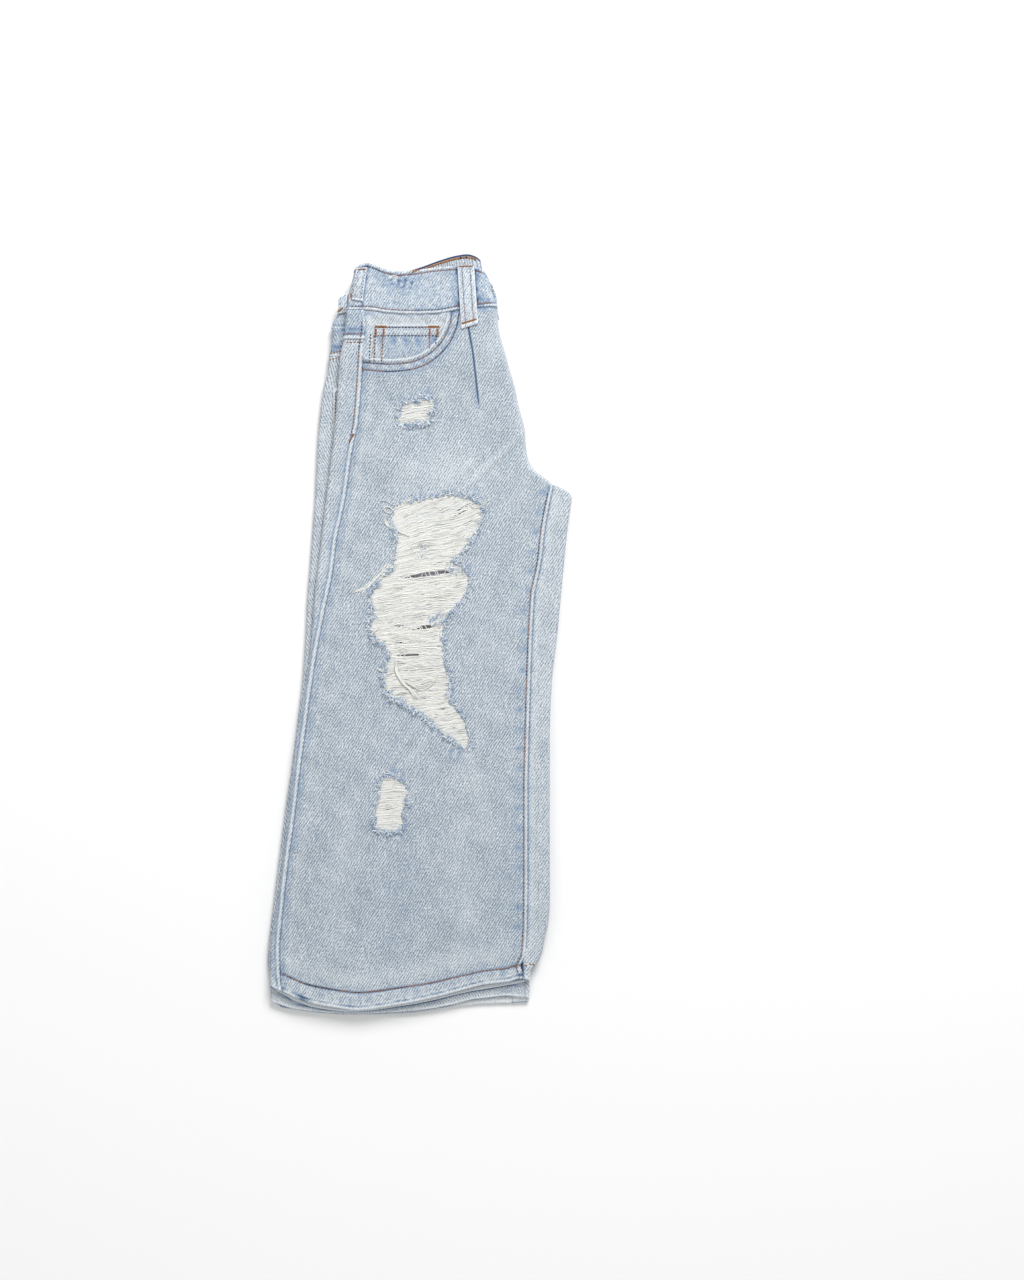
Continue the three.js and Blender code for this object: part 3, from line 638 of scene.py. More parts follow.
# %% [markdown]
# ## Front panels
# The front is one cut piece from the side seam to the centre front, with the scoop of the
# pocket taken out of its upper corner. Its pattern is triangulated flat, because holes with
# torn outlines are easy there and hard to cut later. Lines of points beside each seam carry
# the seam's profile: a felled ridge, the dip of its stitches and the puckers beside them.

# %% Outlines of the front pattern
def hem_row(x):
    """How far the hem's row of stitches is above its edge."""
    return lerp(15.0, 11.5, smooth(-60, 70, x))


def scoop_line(half):
    """The edge of the scoop pocket, from the waist seam to the side seam."""
    low = SCOOP_LEFT_END + half.shift[1]
    points = np.array(SCOOP) + half.shift
    points[0, 1] = half.waist_seam(points[0, 0]) - SEAM_GAP / 2
    last = [float(half.side(low)) + SEAM_GAP / 2, low]
    return path_through([*points, last], 1.0)


def front_outline(half):
    """The front's outline: along the waist, down the centre front, the hem and the side."""
    scoop = scoop_line(half)
    y_high = float(half.waist_seam(60)) - SEAM_GAP / 2
    top_u = np.arange(scoop[0, 0] + 1.5, float(front_end(half, y_high)) - 0.5, 1.5)
    x = front_shape(half, top_u, y_high)[0]
    top = pairs(top_u, half.waist_seam(x) - SEAM_GAP / 2)
    y_low = float(half.hem_front(half.inseam(half.hem)))
    right_y = np.concatenate([np.arange(top[-1, 1], 150, -1.8), np.arange(150, 120, -0.9),
                              np.arange(120, y_low, -1.8)])
    right = pairs(front_end(half, right_y), right_y)
    left_x = float(half.side(half.hem)) + SEAM_GAP / 2
    hem_u = np.arange(right[-1, 0] - 1.2, left_x, -1.4)
    hem = pairs(hem_u, half.hem_front(hem_u))
    left_y = np.arange(hem[-1, 1] + 1, scoop[-1, 1], 1.8)
    left = pairs(half.side(left_y) + SEAM_GAP / 2, left_y)
    return np.vstack([scoop[:1], top, right, hem, left, scoop[:0:-1]]), scoop


# %% Torn outlines and parallel lines
def torn(points, seed, step=0.9, depth=0.75):
    """A rounded outline with the ragged edge of torn cloth."""
    line = path_through(points, step, closed=True)
    ahead = np.roll(line, -1, axis=0) - np.roll(line, 1, axis=0)
    out = pairs(ahead[:, 1], -ahead[:, 0])
    out /= np.linalg.norm(out, axis=1)[:, None]
    rng = np.random.default_rng(seed)
    rag = rng.normal(0, 1, len(line))
    slow = np.convolve(np.tile(rng.normal(0, 1, len(line)), 3), np.ones(5) / 5, "same")
    rag = 0.4 * rag + 1.6 * slow[len(line): 2 * len(line)]
    return line + out * np.clip(rag * depth, -1.3, 1.3)[:, None]


def beside(line, distances, along=2.4):
    """Lines parallel to another one, on its left for positive distances."""
    line = resampled(line, along)
    ahead = np.gradient(line, axis=0)
    left = pairs(-ahead[:, 1], ahead[:, 0])
    left /= np.linalg.norm(left, axis=1)[:, None]
    return [line + left * d for d in distances]


DART = np.array([[42.9, 276], [43.2, 267.3], [47, 246.3], [51.6, 205.2], [52.2, 200]])
SEAM_STEPS = [0.5, 1.0, 1.6, 2.2, 2.8, 3.4, 4.2, 5.2, 6.6, 8.4]
torn_rips = {name: torn(points, 10 + k) for k, (name, points) in enumerate(RIPS.items())}

# %% Seam profiles of the front
def front_profile(half, u, y, scoop, rips):
    """Relief in millimetres, fade, and wear with painted shade, of a front at flat places u, y."""
    x = front_shape(half, u, y)[0]
    relief = creases(half, x, y)
    fade, wear_and_shading = fading(x, y), 0.2 * np.clip(crease_lines(half, x, y), -1.2, 2)
    spots = grain_noise(u, y, 9, 31)

    side = u - half.side(y) - SEAM_GAP / 2
    calm = smooth(0, 14, side)
    relief = relief * (0.15 + 0.85 * calm)
    relief += -0.55 * hump(side, 0, 0.9) + 0.3 * hump(side, 4.5, 2.6)
    relief += 0.3 * np.sin(y * 2 * math.pi / 17 + 1.2) * hump(side, 4, 4)
    # Painted shadow: the dark line where the front runs under the felled back strip. The spots
    # beside it are worn indigo.
    wear_and_shading += -1.7 * hump(side, 0, 0.9) - 0.7 * spots * hump(side, 3.5, 3)
    wear_and_shading += 0.3 * hump(side, 8, 3) * spots

    below = smooth(138, 128, y)
    inner = front_end(half, y) - u
    relief *= 1 - 0.7 * below * hump(inner, 0, 6)
    relief += below * (0.85 * hump(inner, 1.3, 1.15) - 0.3 * hump(inner, 3.4, 0.8))
    pucker = np.clip(np.sin(y * 2 * math.pi / 17.3), 0, 1) ** 2
    relief += below * (0.25 - 0.5 * pucker) * hump(inner, 6, 2.6)
    # The inseam's ridge is whiter. The dark line at its row of stitches is painted shade in the
    # stitch groove.
    wear_and_shading += below * (0.8 * hump(inner, 1.3, 0.75) - 1.3 * hump(inner, 3.4, 0.6))
    wear_and_shading -= below * (0.1 + 1.1 * pucker) * hump(inner, 7.4, 3.8) * (0.2 + spots)
    wear_and_shading += (1 - below) * 0.35 * hump(inner, 2, 4)

    gap, along = line_distance(pairs(u, y), scoop)
    relief += 0.75 * hump(gap, 1.0, 1.3) - 0.3 * hump(gap, 4.2, 0.9) - 0.3 * hump(gap, 10.4, 1.0)
    roll = np.sin(along * 2 * math.pi / 9 + gap * 0.7 + 1.6 * swell(u, y, 25, 12))
    relief += 0.22 * roll * hump(gap, 7.5, 2.8)
    # The pocket's edge is whiter. The dark lines at its two rows of stitches are painted shade in
    # the stitch grooves.
    wear_and_shading += 0.8 * hump(gap, 0.8, 0.8) - 1.8 * hump(gap, 4.2, 0.8) - 1.8 * hump(gap, 10.4, 0.8)
    wear_and_shading += hump(gap, 7.3, 2.2) * (0.5 * roll - 0.15) - 0.6 * spots * hump(gap, 13, 2.5)

    dart = DART + half.shift
    dart_x = np.interp(y, dart[::-1, 1], dart[::-1, 0])
    reach = smooth(dart[-1, 1] - 8, dart[-1, 1] + 12, y)
    from_dart = u - dart_x
    relief += reach * (0.45 * hump(from_dart, -1.4, 1.5) - 0.6 * hump(from_dart, 0.3, 0.7))
    wear_and_shading += reach * (0.5 * hump(from_dart, 2.0, 1.0) - 3.4 * hump(from_dart, 0.4, 0.85))
    wear_and_shading -= reach * 0.5 * spots * hump(from_dart, 3.5, 3) * smooth(235, 262, y)

    waist = half.waist_seam(x) - y
    # Painted shadow: a dark line just below the waistband's edge. The spots below it are worn
    # indigo.
    wear_and_shading += -1.5 * hump(waist, 0.2, 1.0) - 0.5 * spots * hump(waist, 3, 3)
    relief += -0.4 * hump(waist, 0, 1.4)

    hem = y - half.hem_front(x)
    band = smooth(16, 9, hem)
    rope = hem_rope(u, y, hem, 77)
    relief = relief * (1 - 0.5 * band) + band * (0.3 + 0.3 * rope * hump(hem, 6, 6))
    row = hem - hem_row(x)
    relief += -0.4 * hump(row, 0, 1.1)
    blotch = np.clip(grain_noise(u, 0.4 * y, 13, 35) - 0.45, 0, 1)
    wear_and_shading += band * (0.3 * rope * hump(hem, 7, 5) - 1.3 * blotch * hump(hem, 8, 4) + 0.1)
    # The hem's edge is whiter. The uneven dark line just above it is painted shadow where the hem's
    # layers part. The dark line at the hem's row of stitches is painted shade in the stitch groove,
    # and the blotches are worn indigo.
    uneven = grain_noise(u, 0 * y, 12, 61)
    wear_and_shading += 0.9 * hump(hem, 0.7, 1.3) - 2 * uneven * hump(hem, 2.8, 0.7) + 0.4 * hump(hem, 4.2, 1)
    wear_and_shading += 0.18 * hump(hem, 26, 7) - 2.2 * hump(row, 0, 1.0) - 0.9 * blotch * hump(row, 4, 3)
    # Painted shadow: dark corners of the right front's hem where its layers lift apart. One is at
    # the inseam, with a lighter band above it, and one is near the side seam.
    corner = hump(u, 92 if half.up > 0 else 300, 4.5)
    wear_and_shading += corner * (1.5 * hump(hem, 7, 2) - 2.8 * hump(hem, 3, 2.4))
    wear_and_shading -= 2.2 * hump(u, -102, 6) * smooth(6, 2, hem + 0.25 * (u + 102)) * (half.up > 0)

    thin = fray(pairs(u, y), rips, wear_and_shading, relief)
    return relief, fade, np.clip(wear_and_shading, -2, 1), thin


# %% Cloth round the holes, and puckers of the hem
HOLE_REACH = 22.0     # cloth nearer to a hole than this is frayed by it
CLUMPS = [  # where indigo is left in tufts beside the holes: x, y and reach
    (-2, 122, 7), (50, 121, 8), (-43, 42.5, 6), (-44.6, 14.4, 7), (-42, -4, 7), (-21, -54, 8),
    (-9, -63, 8), (10, -81, 7), (30, -101, 8), (43, 59, 5), (49, 83.6, 5), (-20, 88, 5),
    (-29, -33, 5), (-29, -48, 6), (22, -4, 4), (25.5, -48, 4), (-4, 208, 7), (8, 209, 6),
    (-8, 184, 7), (4, 184.5, 6), (13.5, 197, 4), (-23, -121.6, 7), (-27, -174, 8),
    (-17, -173, 6), (-13, -145, 4),
]


def clumps(x, y):
    total = np.zeros(np.shape(x))
    for cx, cy, reach in CLUMPS:
        total += np.exp(-(((x - cx) ** 2 + (y - cy) ** 2) / reach ** 2))
    return total


def hem_rope(u, y, hem, seed):
    """Slanting puckers that a turned hem gets in the wash, uneven in size and strength."""
    phase = (u - 0.3 * hem) * 2 * math.pi / 11 + 2.4 * swell(u, y, 40, seed)
    return np.sin(phase) * (0.55 + 0.45 * swell(u, y, 21, seed + 1))


def edge_slope(points, outline):
    """1 beside an edge that runs across the cloth and 0 beside one that runs up it."""
    ahead = np.roll(outline, -2, axis=0) - np.roll(outline, 2, axis=0)
    level = np.abs(ahead[:, 0]) / (np.linalg.norm(ahead, axis=1) + 1e-9)
    tree = search_tree(outline)
    near = [tree.find((x, y, 0))[1] for x, y in points]
    return level[near]


def fray(places, rips, wear_and_shading, relief):
    """Changes wear and relief round the holes, and gives the share of thickness left."""
    thin = np.ones(len(places))
    for k, outline in enumerate(rips):
        low, high = outline.min(0) - HOLE_REACH, outline.max(0) + HOLE_REACH
        box = ((places > low) & (places < high)).all(1)
        flat = places[box]
        gap = np.maximum(ring_distance(flat, outline), 0)
        level = edge_slope(flat, outline)
        patch = grain_noise(*flat.T, 6.5, 50 + k)
        worn = (0.3 + 0.5 * level) * smooth(6, 0.5, gap) + clumps(*flat.T)
        wear_and_shading[box] -= 0.75 * np.minimum(worn, 1.2) * np.clip(2.4 * patch - 0.8, 0, 1)
        wear_and_shading[box] += np.minimum(worn, 1) * np.clip(1.2 - 2.6 * patch, 0, 1) * 0.6
        relief[box] += 0.35 * swell(*flat.T, 9, 60 + k) * smooth(7, 0, gap)
        thin[box] = np.minimum(thin[box], 0.3 + 0.7 * smooth(0, 3, gap))
    return thin


# %% Making the fronts
def resting(half, y, relief):
    """The lower half lies on its seams, so its relief only goes inwards."""
    if half.up > 0:
        return relief
    return np.minimum(relief - 0.8, 0.5 * smooth(212, 250, y))


def hem_thickness(distance):
    return CLOTH * smooth(HEM_HEIGHT + 0.8, HEM_HEIGHT - 0.2, distance)


def front_panel(half, rips, spacing, seed):
    outline, scoop = front_outline(half)
    side_y = np.arange(half.hem + 2, SCOOP_LEFT_END, 2.4)
    inner_y = np.arange(half.hem + 12, 150, 2.4)
    side = pairs(half.side(side_y) + SEAM_GAP / 2, side_y)
    inner = pairs(front_end(half, inner_y), inner_y)
    hem_u = np.arange(-118.0, 90.0, 2.0)
    hem = pairs(hem_u, half.hem_front(hem_u))
    lines = beside(side, [-d for d in SEAM_STEPS]) + beside(inner, SEAM_STEPS)
    lines += beside(hem, [0.6, 1.4, 2.6, 4.2, 6, 8, 9.8, 10.8, 12.4, 14, 15, 16.4], 2.0)
    lines += beside(scoop, [0.5, 1, 1.7, 2.5, 3.4, 4.2, 5.2, 6.6, 8, 9.4, 10.4, 11.6], 1.8)
    lines += beside(DART + half.shift, [-3, -2, -1.2, -0.4, 0.4, 1.2, 2, 3], 2.2)
    for rip in rips:
        lines += beside(np.vstack([rip, rip[:1]]), [-1.1, -2.6, -4.4, 1.1, 2.6, 4.4], 1.6)
    flat, faces = pattern(outline, rips, lines, spacing, seed)
    u, y = flat.T
    relief, fade, wear_and_shading, thin = front_profile(half, u, y, scoop, rips)
    relief = resting(half, y, relief)
    shape = front_shape(half, u, y)
    thick = hem_thickness(y - half.hem_front(shape[0]))
    outer = placed(half, shape, y, relief + CLOTH / 2 * thin)
    inner = placed(half, shape, y, relief - CLOTH / 2 * thin - thick)
    made = shell(f"cloth_{half.name}_front", outer, inner, faces, flat, fade, wear_and_shading,
                 y - half.hem_front(shape[0]), half.hem_back(shape[0]) - y)
    print(made.name, len(made.data.polygons), "faces")
    return made


front_panel(RIGHT, list(torn_rips.values()), 2.5, 3)
front_panel(LEFT, [], 3.2, 5)

# %% [markdown]
# ## Back panels, yokes and waistbands
# These go round the folds, so each is a grid: rows up the leg, and columns that start at one
# seam, turn round an edge of the stack and go on below. A lofted grid keeps the threads of the
# cloth square to its edges. Columns crowd at the seams, where the profile needs them.

# %% Grid shells
def tube_faces(rings, sides):
    """Faces between rings of points, closed round each ring."""
    k = np.arange((rings - 1) * sides)
    beyond = k // sides * sides + (k + 1) % sides
    return np.stack([k, beyond, beyond + sides, k + sides], 1)


def grid_faces(rows, columns):
    """Faces between rows of points that are open at both ends."""
    k = np.arange((rows - 1) * columns).reshape(rows - 1, columns)[:, :-1].ravel()
    return np.stack([k, k + 1, k + 1 + columns, k + columns], 1)


def grid_shell(name, half, shape, y, y_end, relief, out, inn, uv, fade, wear_and_shading, hem=FAR,
               under=FAR):
    """A shell from a grid of folded cloth; out and inn are its two faces' distances."""
    outer = placed(half, shape, y, relief + out, y_end).reshape(-1, 3)
    inner = placed(half, shape, y, relief - inn, y_end).reshape(-1, 3)
    faces = grid_faces(*y.shape)
    flat = [np.broadcast_to(a, y.shape).ravel() for a in (*uv, fade, wear_and_shading, hem, under)]
    made = shell(name, outer, inner, faces, np.stack(flat[:2], 1), *flat[2:])
    print(name, len(made.data.polygons), "faces")
    return made


def joined(first, second):
    return [np.concatenate([a, b], 1) for a, b in zip(first, second)]


# %% Columns and rows of the back
EDGE_STEPS = np.array([0, 0.5, 1, 1.6, 2.2, 2.8, 3.6, 4.6])


def fold_columns(half, y, last_x):
    """The side part, from the side seam over the fold and on to a place on the middle layer."""
    left, length = side_fold(half, y)
    strip = np.maximum(half.side(y) - SEAM_GAP / 2 - left, 0.8)
    seam = EDGE_STEPS * np.minimum(1, strip / 5.2)
    rest = np.maximum(last_x - left, 1)
    arc = np.linspace(0, 1, 11)[1:] * length
    run = np.concatenate([seam, np.broadcast_to(strip, (len(y), 1)), strip + arc,
                          strip + length + rest * np.linspace(0, 1, 15)[1:]], 1)
    u = left + strip - run
    return (*fold_shape(half, u, y), u, run)


def inseam_columns(half, y):
    """The inner part, from the middle layer round the edge to the inseam."""
    end = inseam_end(half, y)
    scale = np.minimum(1, end / 9)
    seam = (EDGE_STEPS * scale)[:, ::-1]
    near = end - seam[:, :1]
    inner = near * np.linspace(0, 1, 14)[:-1]
    v = np.concatenate([inner, end - seam], 1)
    return (*inseam_shape(half, v, y), v, end - v)


def leg_rows(half, top):
    hem = half.hem
    rows = [np.arange(top, 146, -2.4), np.arange(146, 122, -1.2), np.arange(122, hem + 16, -2.4),
            np.arange(hem + 15, hem + 1, -1.0), [hem + 0.5, hem]]
    return np.concatenate(rows)[:, None]


# %% The back panel
def back_panel(half):
    y = leg_rows(half, half.yoke_seam - SEAM_GAP / 2)
    right = inseam_shape(half, 0 * y, y)[0]
    fold = fold_columns(half, y, right - 2)
    inner = inseam_columns(half, y)
    split = fold[0].shape[1]
    x, w, across, up, flat_u, run = joined(fold, inner)
    y = np.broadcast_to(y, x.shape)
    from_side = np.full(x.shape, FAR)
    from_side[:, :split] = fold[5]
    from_inseam = np.full(x.shape, FAR)
    from_inseam[:, split:] = inner[5]
    beyond = 300 + half.inseam(y) + from_inseam
    flat_u = np.where(np.arange(x.shape[1]) < split, flat_u, beyond)

    face_w, middle_w = layers(half, y)[:2]
    outside = smooth(middle_w, face_w, w)
    reach = smooth(half.hem + 90, half.hem, y)
    hem_y = lerp(half.hem_back(x), half.hem_front(x), outside)
    y_end = y + (hem_y - half.hem) * reach
    hem = y - half.hem

    fade, wear_and_shading = fading(x, y) + 0.13, np.zeros(x.shape)
    spots = grain_noise(x, y, 9, 131)
    relief = 0.5 * creases(half, x, y) * (0.3 + 0.7 * smooth(0, 9, from_side)) * (w < OUTER_LAYER)
    relief += 0.8 * hump(from_side, 1.4, 1.25) - 0.25 * hump(from_side, 3.6, 0.9)
    bead = np.sin(y * 2 * math.pi / 17.5)
    relief += 0.12 * bead * hump(from_side, 5, 3)
    # The felled ridge is rubbed white. The dark line at its row of stitches is painted shade in the
    # stitch groove.
    wear_and_shading += 0.8 * hump(from_side, 1.5, 0.75) - 1.1 * hump(from_side, 3.6, 0.6)
    wear_and_shading -= 0.4 * spots * hump(from_side, 6, 3)
    below = smooth(133, 128, y)
    # Painted shadow: a dark line at the back's edge where it meets the front at the inseam.
    wear_and_shading += below * (-1.6 * hump(from_inseam, 0, 0.9) + 0.3 * hump(from_inseam, 4, 2.5))
    wear_and_shading -= below * np.clip(bead, 0, 1) * 0.45 * hump(from_inseam, 3, 2.4) * spots
    relief += below * (-0.4 * hump(from_inseam, 0, 1) + 0.2 * hump(from_inseam, 5, 2.6))
    band = smooth(16, 9, hem)
    rope = hem_rope(run, y, hem, 79)
    relief += band * (0.15 + 0.22 * rope * hump(hem, 6, 6)) - 0.3 * hump(hem, 14, 1)
    wear_and_shading += 0.9 * hump(hem, 0.4, 1.3) + band * 0.4 * rope * hump(hem, 6, 6.5)
    relief *= smooth(0, 4, np.abs(half.yoke_seam - y)) * 0.8 + 0.2
    # Painted shadow: a dark line on the left back just below the right half's hem.
    if half.up < 0:
        wear_and_shading -= 3 * hump(RIGHT.hem_back(x) - y_end, 0.5, 1.2) * (hem < 14)

    relief = np.where(w > OUTER_LAYER, resting(half, y, relief), relief * (half.up > 0))
    thick = hem_thickness(hem)
    return grid_shell(f"cloth_{half.name}_back", half, (x, w, across, up), y, y_end, relief,
                      CLOTH / 2, CLOTH / 2 + thick, (flat_u, y), fade, np.clip(wear_and_shading, -2, 1),
                      hem, half.hem_front(x) - y_end)


# %% The yoke
def yoke(half):
    """The yoke, felled over the back panel, from the side seam to the centre back."""
    low = half.yoke_seam - SEAM_GAP
    high = float(half.waist_seam(half.fold(low))) - SEAM_GAP
    steps = np.concatenate([np.linspace(0, 4.5, 10), np.linspace(6.5, high - low, 9)])
    y = low + steps[:, None]
    x, w, across, up, u, run = fold_columns(half, y, half.back(y))
    y = np.broadcast_to(y, x.shape)
    seam, rise = half.waist_seam(x) - y, y - low
    fade, wear_and_shading = fading(x, y) + 0.02, np.zeros(x.shape)
    relief = 0.8 * hump(rise, 1.2, 1.2) + 0.8 * hump(run, 1.4, 1.2) * smooth(2, 5, rise)
    relief += 0.5 - 0.25 * hump(rise, 4.2, 0.8)
    bunch = np.sin(y * 2 * math.pi / 6.6 + x * 0.3) * smooth(262, 268, y)
    if half.up < 0:
        relief += 0.45 * bunch * smooth(half.side(y) + 5, half.side(y) - 5, x)
        wear_and_shading -= 2.6 * np.clip(-bunch - 0.35, 0, 1) - 0.5 * np.clip(bunch, 0, 1)
    # The yoke's seam ridges are whiter. The dark line at its row of stitches is painted shade in
    # the stitch groove.
    wear_and_shading += 0.8 * hump(rise, 1.2, 0.8) + 0.6 * hump(run, 1.5, 0.75) - 1.3 * hump(rise, 4.2, 0.7)
    spots = 0.1 + 1.5 * grain_noise(x, y, 4.5, 8)
    wear_and_shading -= (1.2 * hump(rise, 8, 3.4) + 0.55 * hump(seam, 4, 5)) * spots
    relief = np.where(w > OUTER_LAYER, resting(half, y, relief), np.minimum(relief, 0.2))
    return grid_shell(f"cloth_{half.name}_yoke", half, (x, w, across, up), y, None, relief,
                      CLOTH / 2, CLOTH / 2, (u, y), fade, np.clip(wear_and_shading, -2, 1))


# %% Columns of the waistband
def band_columns(half, y):
    """Round the centre front, over the face and the side fold, to the centre back."""
    start = front_end(half, y)
    centre = centre_front(half, y)[0]
    turn = start + (centre - start) * np.linspace(0, 1, 9)[:-1]
    join = half.side(y) - 4
    face = centre + (join - centre) * np.linspace(0, 1, 56)[:-1]
    front_u = np.concatenate([turn, face], 1)
    left, length = side_fold(half, y)
    across = np.linspace(0, 1, 12)
    strip = join + (left - join) * across[:6]
    rest = left - length - np.maximum(half.back(y) - left, 1) * np.linspace(0, 1, 40)[1:]
    u = np.concatenate([strip, left - length * across[1:], rest], 1)
    shape = joined(front_shape(half, front_u, y), fold_shape(half, u, y))
    return shape, np.concatenate([front_u, u], 1)


# %% The waistband
def waistband(half):
    v = np.concatenate([[0, 0.012, 0.03, 0.05, 0.075, 0.11], np.linspace(0.15, 0.88, 17),
                        [0.905, 0.925, 0.945, 0.962, 0.978, 0.99, 1]])[:, None]
    y = lerp(half.band_low, half.band_high, v)
    (x, w, across, up), u = band_columns(half, y)
    y = np.broadcast_to(y, x.shape)
    back = smooth(face_of(y) * 0.75, face_of(y) * 0.25, w) * (x < half.back(y) + 0.5)
    seam_y = half.waist_seam(x) + SEAM_GAP / 2
    top_y = lerp(half.band_front(x), half.band_back(x), back)
    y_end = lerp(seam_y, top_y, v)
    rise, fall = y_end - seam_y, top_y - y_end
    fade, wear_and_shading = fading(x, y_end) + 0.05, np.zeros(x.shape)
    relief = 0.55 * creases(half, x, y_end) * smooth(0, 8, rise) * smooth(0, 8, fall)
    relief += 0.7 * hump(rise, 0.9, 1.2) - 0.3 * hump(rise, 2.9, 0.8) + 0.35
    relief += 0.45 * hump(fall, 1.2, 1.6) - 0.3 * hump(fall, 2.8, 0.8)
    pucker = np.sin(u * 2 * math.pi / 6.8 + 1.2 * swell(u, y, 40, 5))
    relief += 0.14 * pucker * (hump(rise, 5.5, 3) + hump(fall, 5, 2.5))
    spots = grain_noise(x, y_end, 10, 47)
    fade += 0.36 * (grain_noise(x, y_end, 8, 48) - 0.4)
    wear_and_shading -= 0.9 * np.clip(grain_noise(x, y_end, 6, 49) - 0.5, 0, 1)
    # The band's lower edge is whiter. The dark lines at its two rows of stitches are painted shade
    # in the stitch grooves.
    wear_and_shading += 0.85 * hump(rise, 0.9, 0.75) - 1.3 * hump(rise, 3.0, 0.7)
    wear_and_shading += 0.35 * hump(fall, 0.5, 1.0) * (1 - 2.6 * back) - 1.3 * hump(fall, 2.9, 0.7)
    wear_and_shading -= 0.8 * back * smooth(22, 3, fall)
    wear_and_shading -= 0.35 * spots * (hump(rise, 6, 3) + hump(fall, 6, 3))
    wear_and_shading += 0.12 * pucker * (hump(rise, 6, 3) + hump(fall, 5.5, 3))
    if half.up > 0:
        seen = w > 2
        scratch = hump(x, -14, 24) * hump(y_end + 0.3 * x, 303, 9)
        lines = grain_noise(1.1 * x + 20, 1.6 * y_end, 5, 41) - 0.2
        wear_and_shading -= 2.3 * scratch * np.maximum(lines, -0.1) * seen
        wear_and_shading += 1.2 * hump(x, -23.6, 3.4) * hump(y_end, 312.4, 1.6) * seen
        from_loop = x - 37.2 + 0.066 * (y_end - 267.5)
        loop = np.minimum(np.abs(from_loop), np.abs(from_loop - 14.6))
        # Painted shadow: dark lines along the edges of the front belt loop and of the side belt
        # loop, and uneven painted shade beside the front loop.
        wear_and_shading -= 1.5 * hump(loop, 0.3, 1.1) * seen
        wear_and_shading -= 1.1 * hump(loop, 3, 4) * grain_noise(x, y_end, 6, 43) * seen
        wear_and_shading -= 1.3 * hump(x + 44.6 - 0.137 * (y_end - 321), 0, 1.2) * seen
        wear_and_shading -= 0.5 * hump(x, 58, 6) * smooth(14, 3, rise) * seen
    middle_layer = w < OUTER_LAYER
    relief = np.where(middle_layer & (half.up < 0), np.minimum(relief, 0), relief)
    relief = np.where(middle_layer, relief * 0.4, relief)
    round_edge = 0.55 * (hump(rise, 0, 0.45) + hump(fall, 0, 0.5))
    # The inner face counts as turned in everywhere and gets a line of painted shadow along its top
    # edge.
    return grid_shell(f"cloth_{half.name}_waistband", half, (x, w, across, up), y, y_end,
                      relief - round_edge, CLOTH / 2, BAND - CLOTH / 2 - 2 * round_edge,
                      (u, y_end), fade, np.clip(wear_and_shading, -2, 1), HEM_HEIGHT + 2.8,
                      fall + 0.1)


for half in (RIGHT, LEFT):
    back_panel(half)
    yoke(half)
    waistband(half)

# %% [markdown]
# ## Small cut pieces
# Belt loops are strips with their ends turned under and tacked down, so they stand off the
# band between the tacks. The scoop pocket shows its facing and the coin pocket that is sewn
# on it, both lying a little lower than the front. The back pocket of the left half looks out
# from under the fold. Strips are grids, and flat pieces use the pattern triangulation.

# %% Belt loops
def side_face(half, y):
    """Height of a half's outer face, with sign, from the floor."""
    return middle(y) + half.up * half_height(y)


def belt_loop(name, half, corners, thick=1.5, stand=1.0, level=None):
    """A strip through four corners: top left, top right, bottom right, bottom left."""
    tl, tr, br, bl = (np.array(c, float) for c in corners)
    v = np.concatenate([[0, 0.008, 0.02], np.linspace(0.045, 0.93, 30), [0.95, 0.965, 0.98,
                        0.99, 1]])[:, None]
    s = np.array([0, 0.04, 0.1, 0.18, 0.25, 0.32, 0.42, 0.58, 0.68, 0.75, 0.82, 0.9, 0.96, 1])
    left, right = lerp(tl, bl, v), lerp(tr, br, v)
    x, y = lerp(left[:, :1], right[:, :1], s), lerp(left[:, 1:], right[:, 1:], s)
    vv, ss = np.broadcast_to(v, x.shape), np.broadcast_to(s, x.shape)
    lines = hump(ss, 0.25, 0.05) + hump(ss, 0.75, 0.05)
    ends = smooth(0, 0.03, vv) * smooth(1, 0.97, vv)
    sides = smooth(0, 0.1, ss) * smooth(1, 0.9, ss)
    bow = stand * smooth(0.05, 0.35, vv) * smooth(0.93, 0.65, vv)
    bow = bow - 0.5 * hump(vv, 0.065, 0.02) - 0.5 * hump(vv, 0.925, 0.018)
    swells = 0.18 * np.sin(vv * 23 + ss * 4) * sides + 0.35 * hump(vv, 0.975, 0.02)
    lift = 0.45 + bow + swells + 0.35 * (sides * ends - 1) - 0.28 * lines
    ground = side_face(half, np.clip(y, 276, 318)) if level is None else level
    outer_z = ground + half.up * (lift + thick)
    inner_z = ground + half.up * (lift + 0.35 * (1 - sides * ends))
    # The loop's edges are whiter. The dark lines at its two rows of stitches are painted shade in
    # the stitch grooves.
    wear_and_shading = 0.9 * (1 - sides) + 0.6 * hump(vv, 0.98, 0.02) - 0.9 * lines + 0.05
    wear_and_shading += 0.9 * (grain_noise(x, y, 5, 3) - 0.6)
    fade = np.full(x.size, 0.8)
    flat = pairs(x.ravel(), y.ravel())
    outer, inner = (in_frame(x, y, z).reshape(-1, 3) for z in (outer_z, inner_z))
    return shell(name, outer, inner, grid_faces(*x.shape), flat, fade,
                 np.clip(wear_and_shading, -2, 1).ravel())


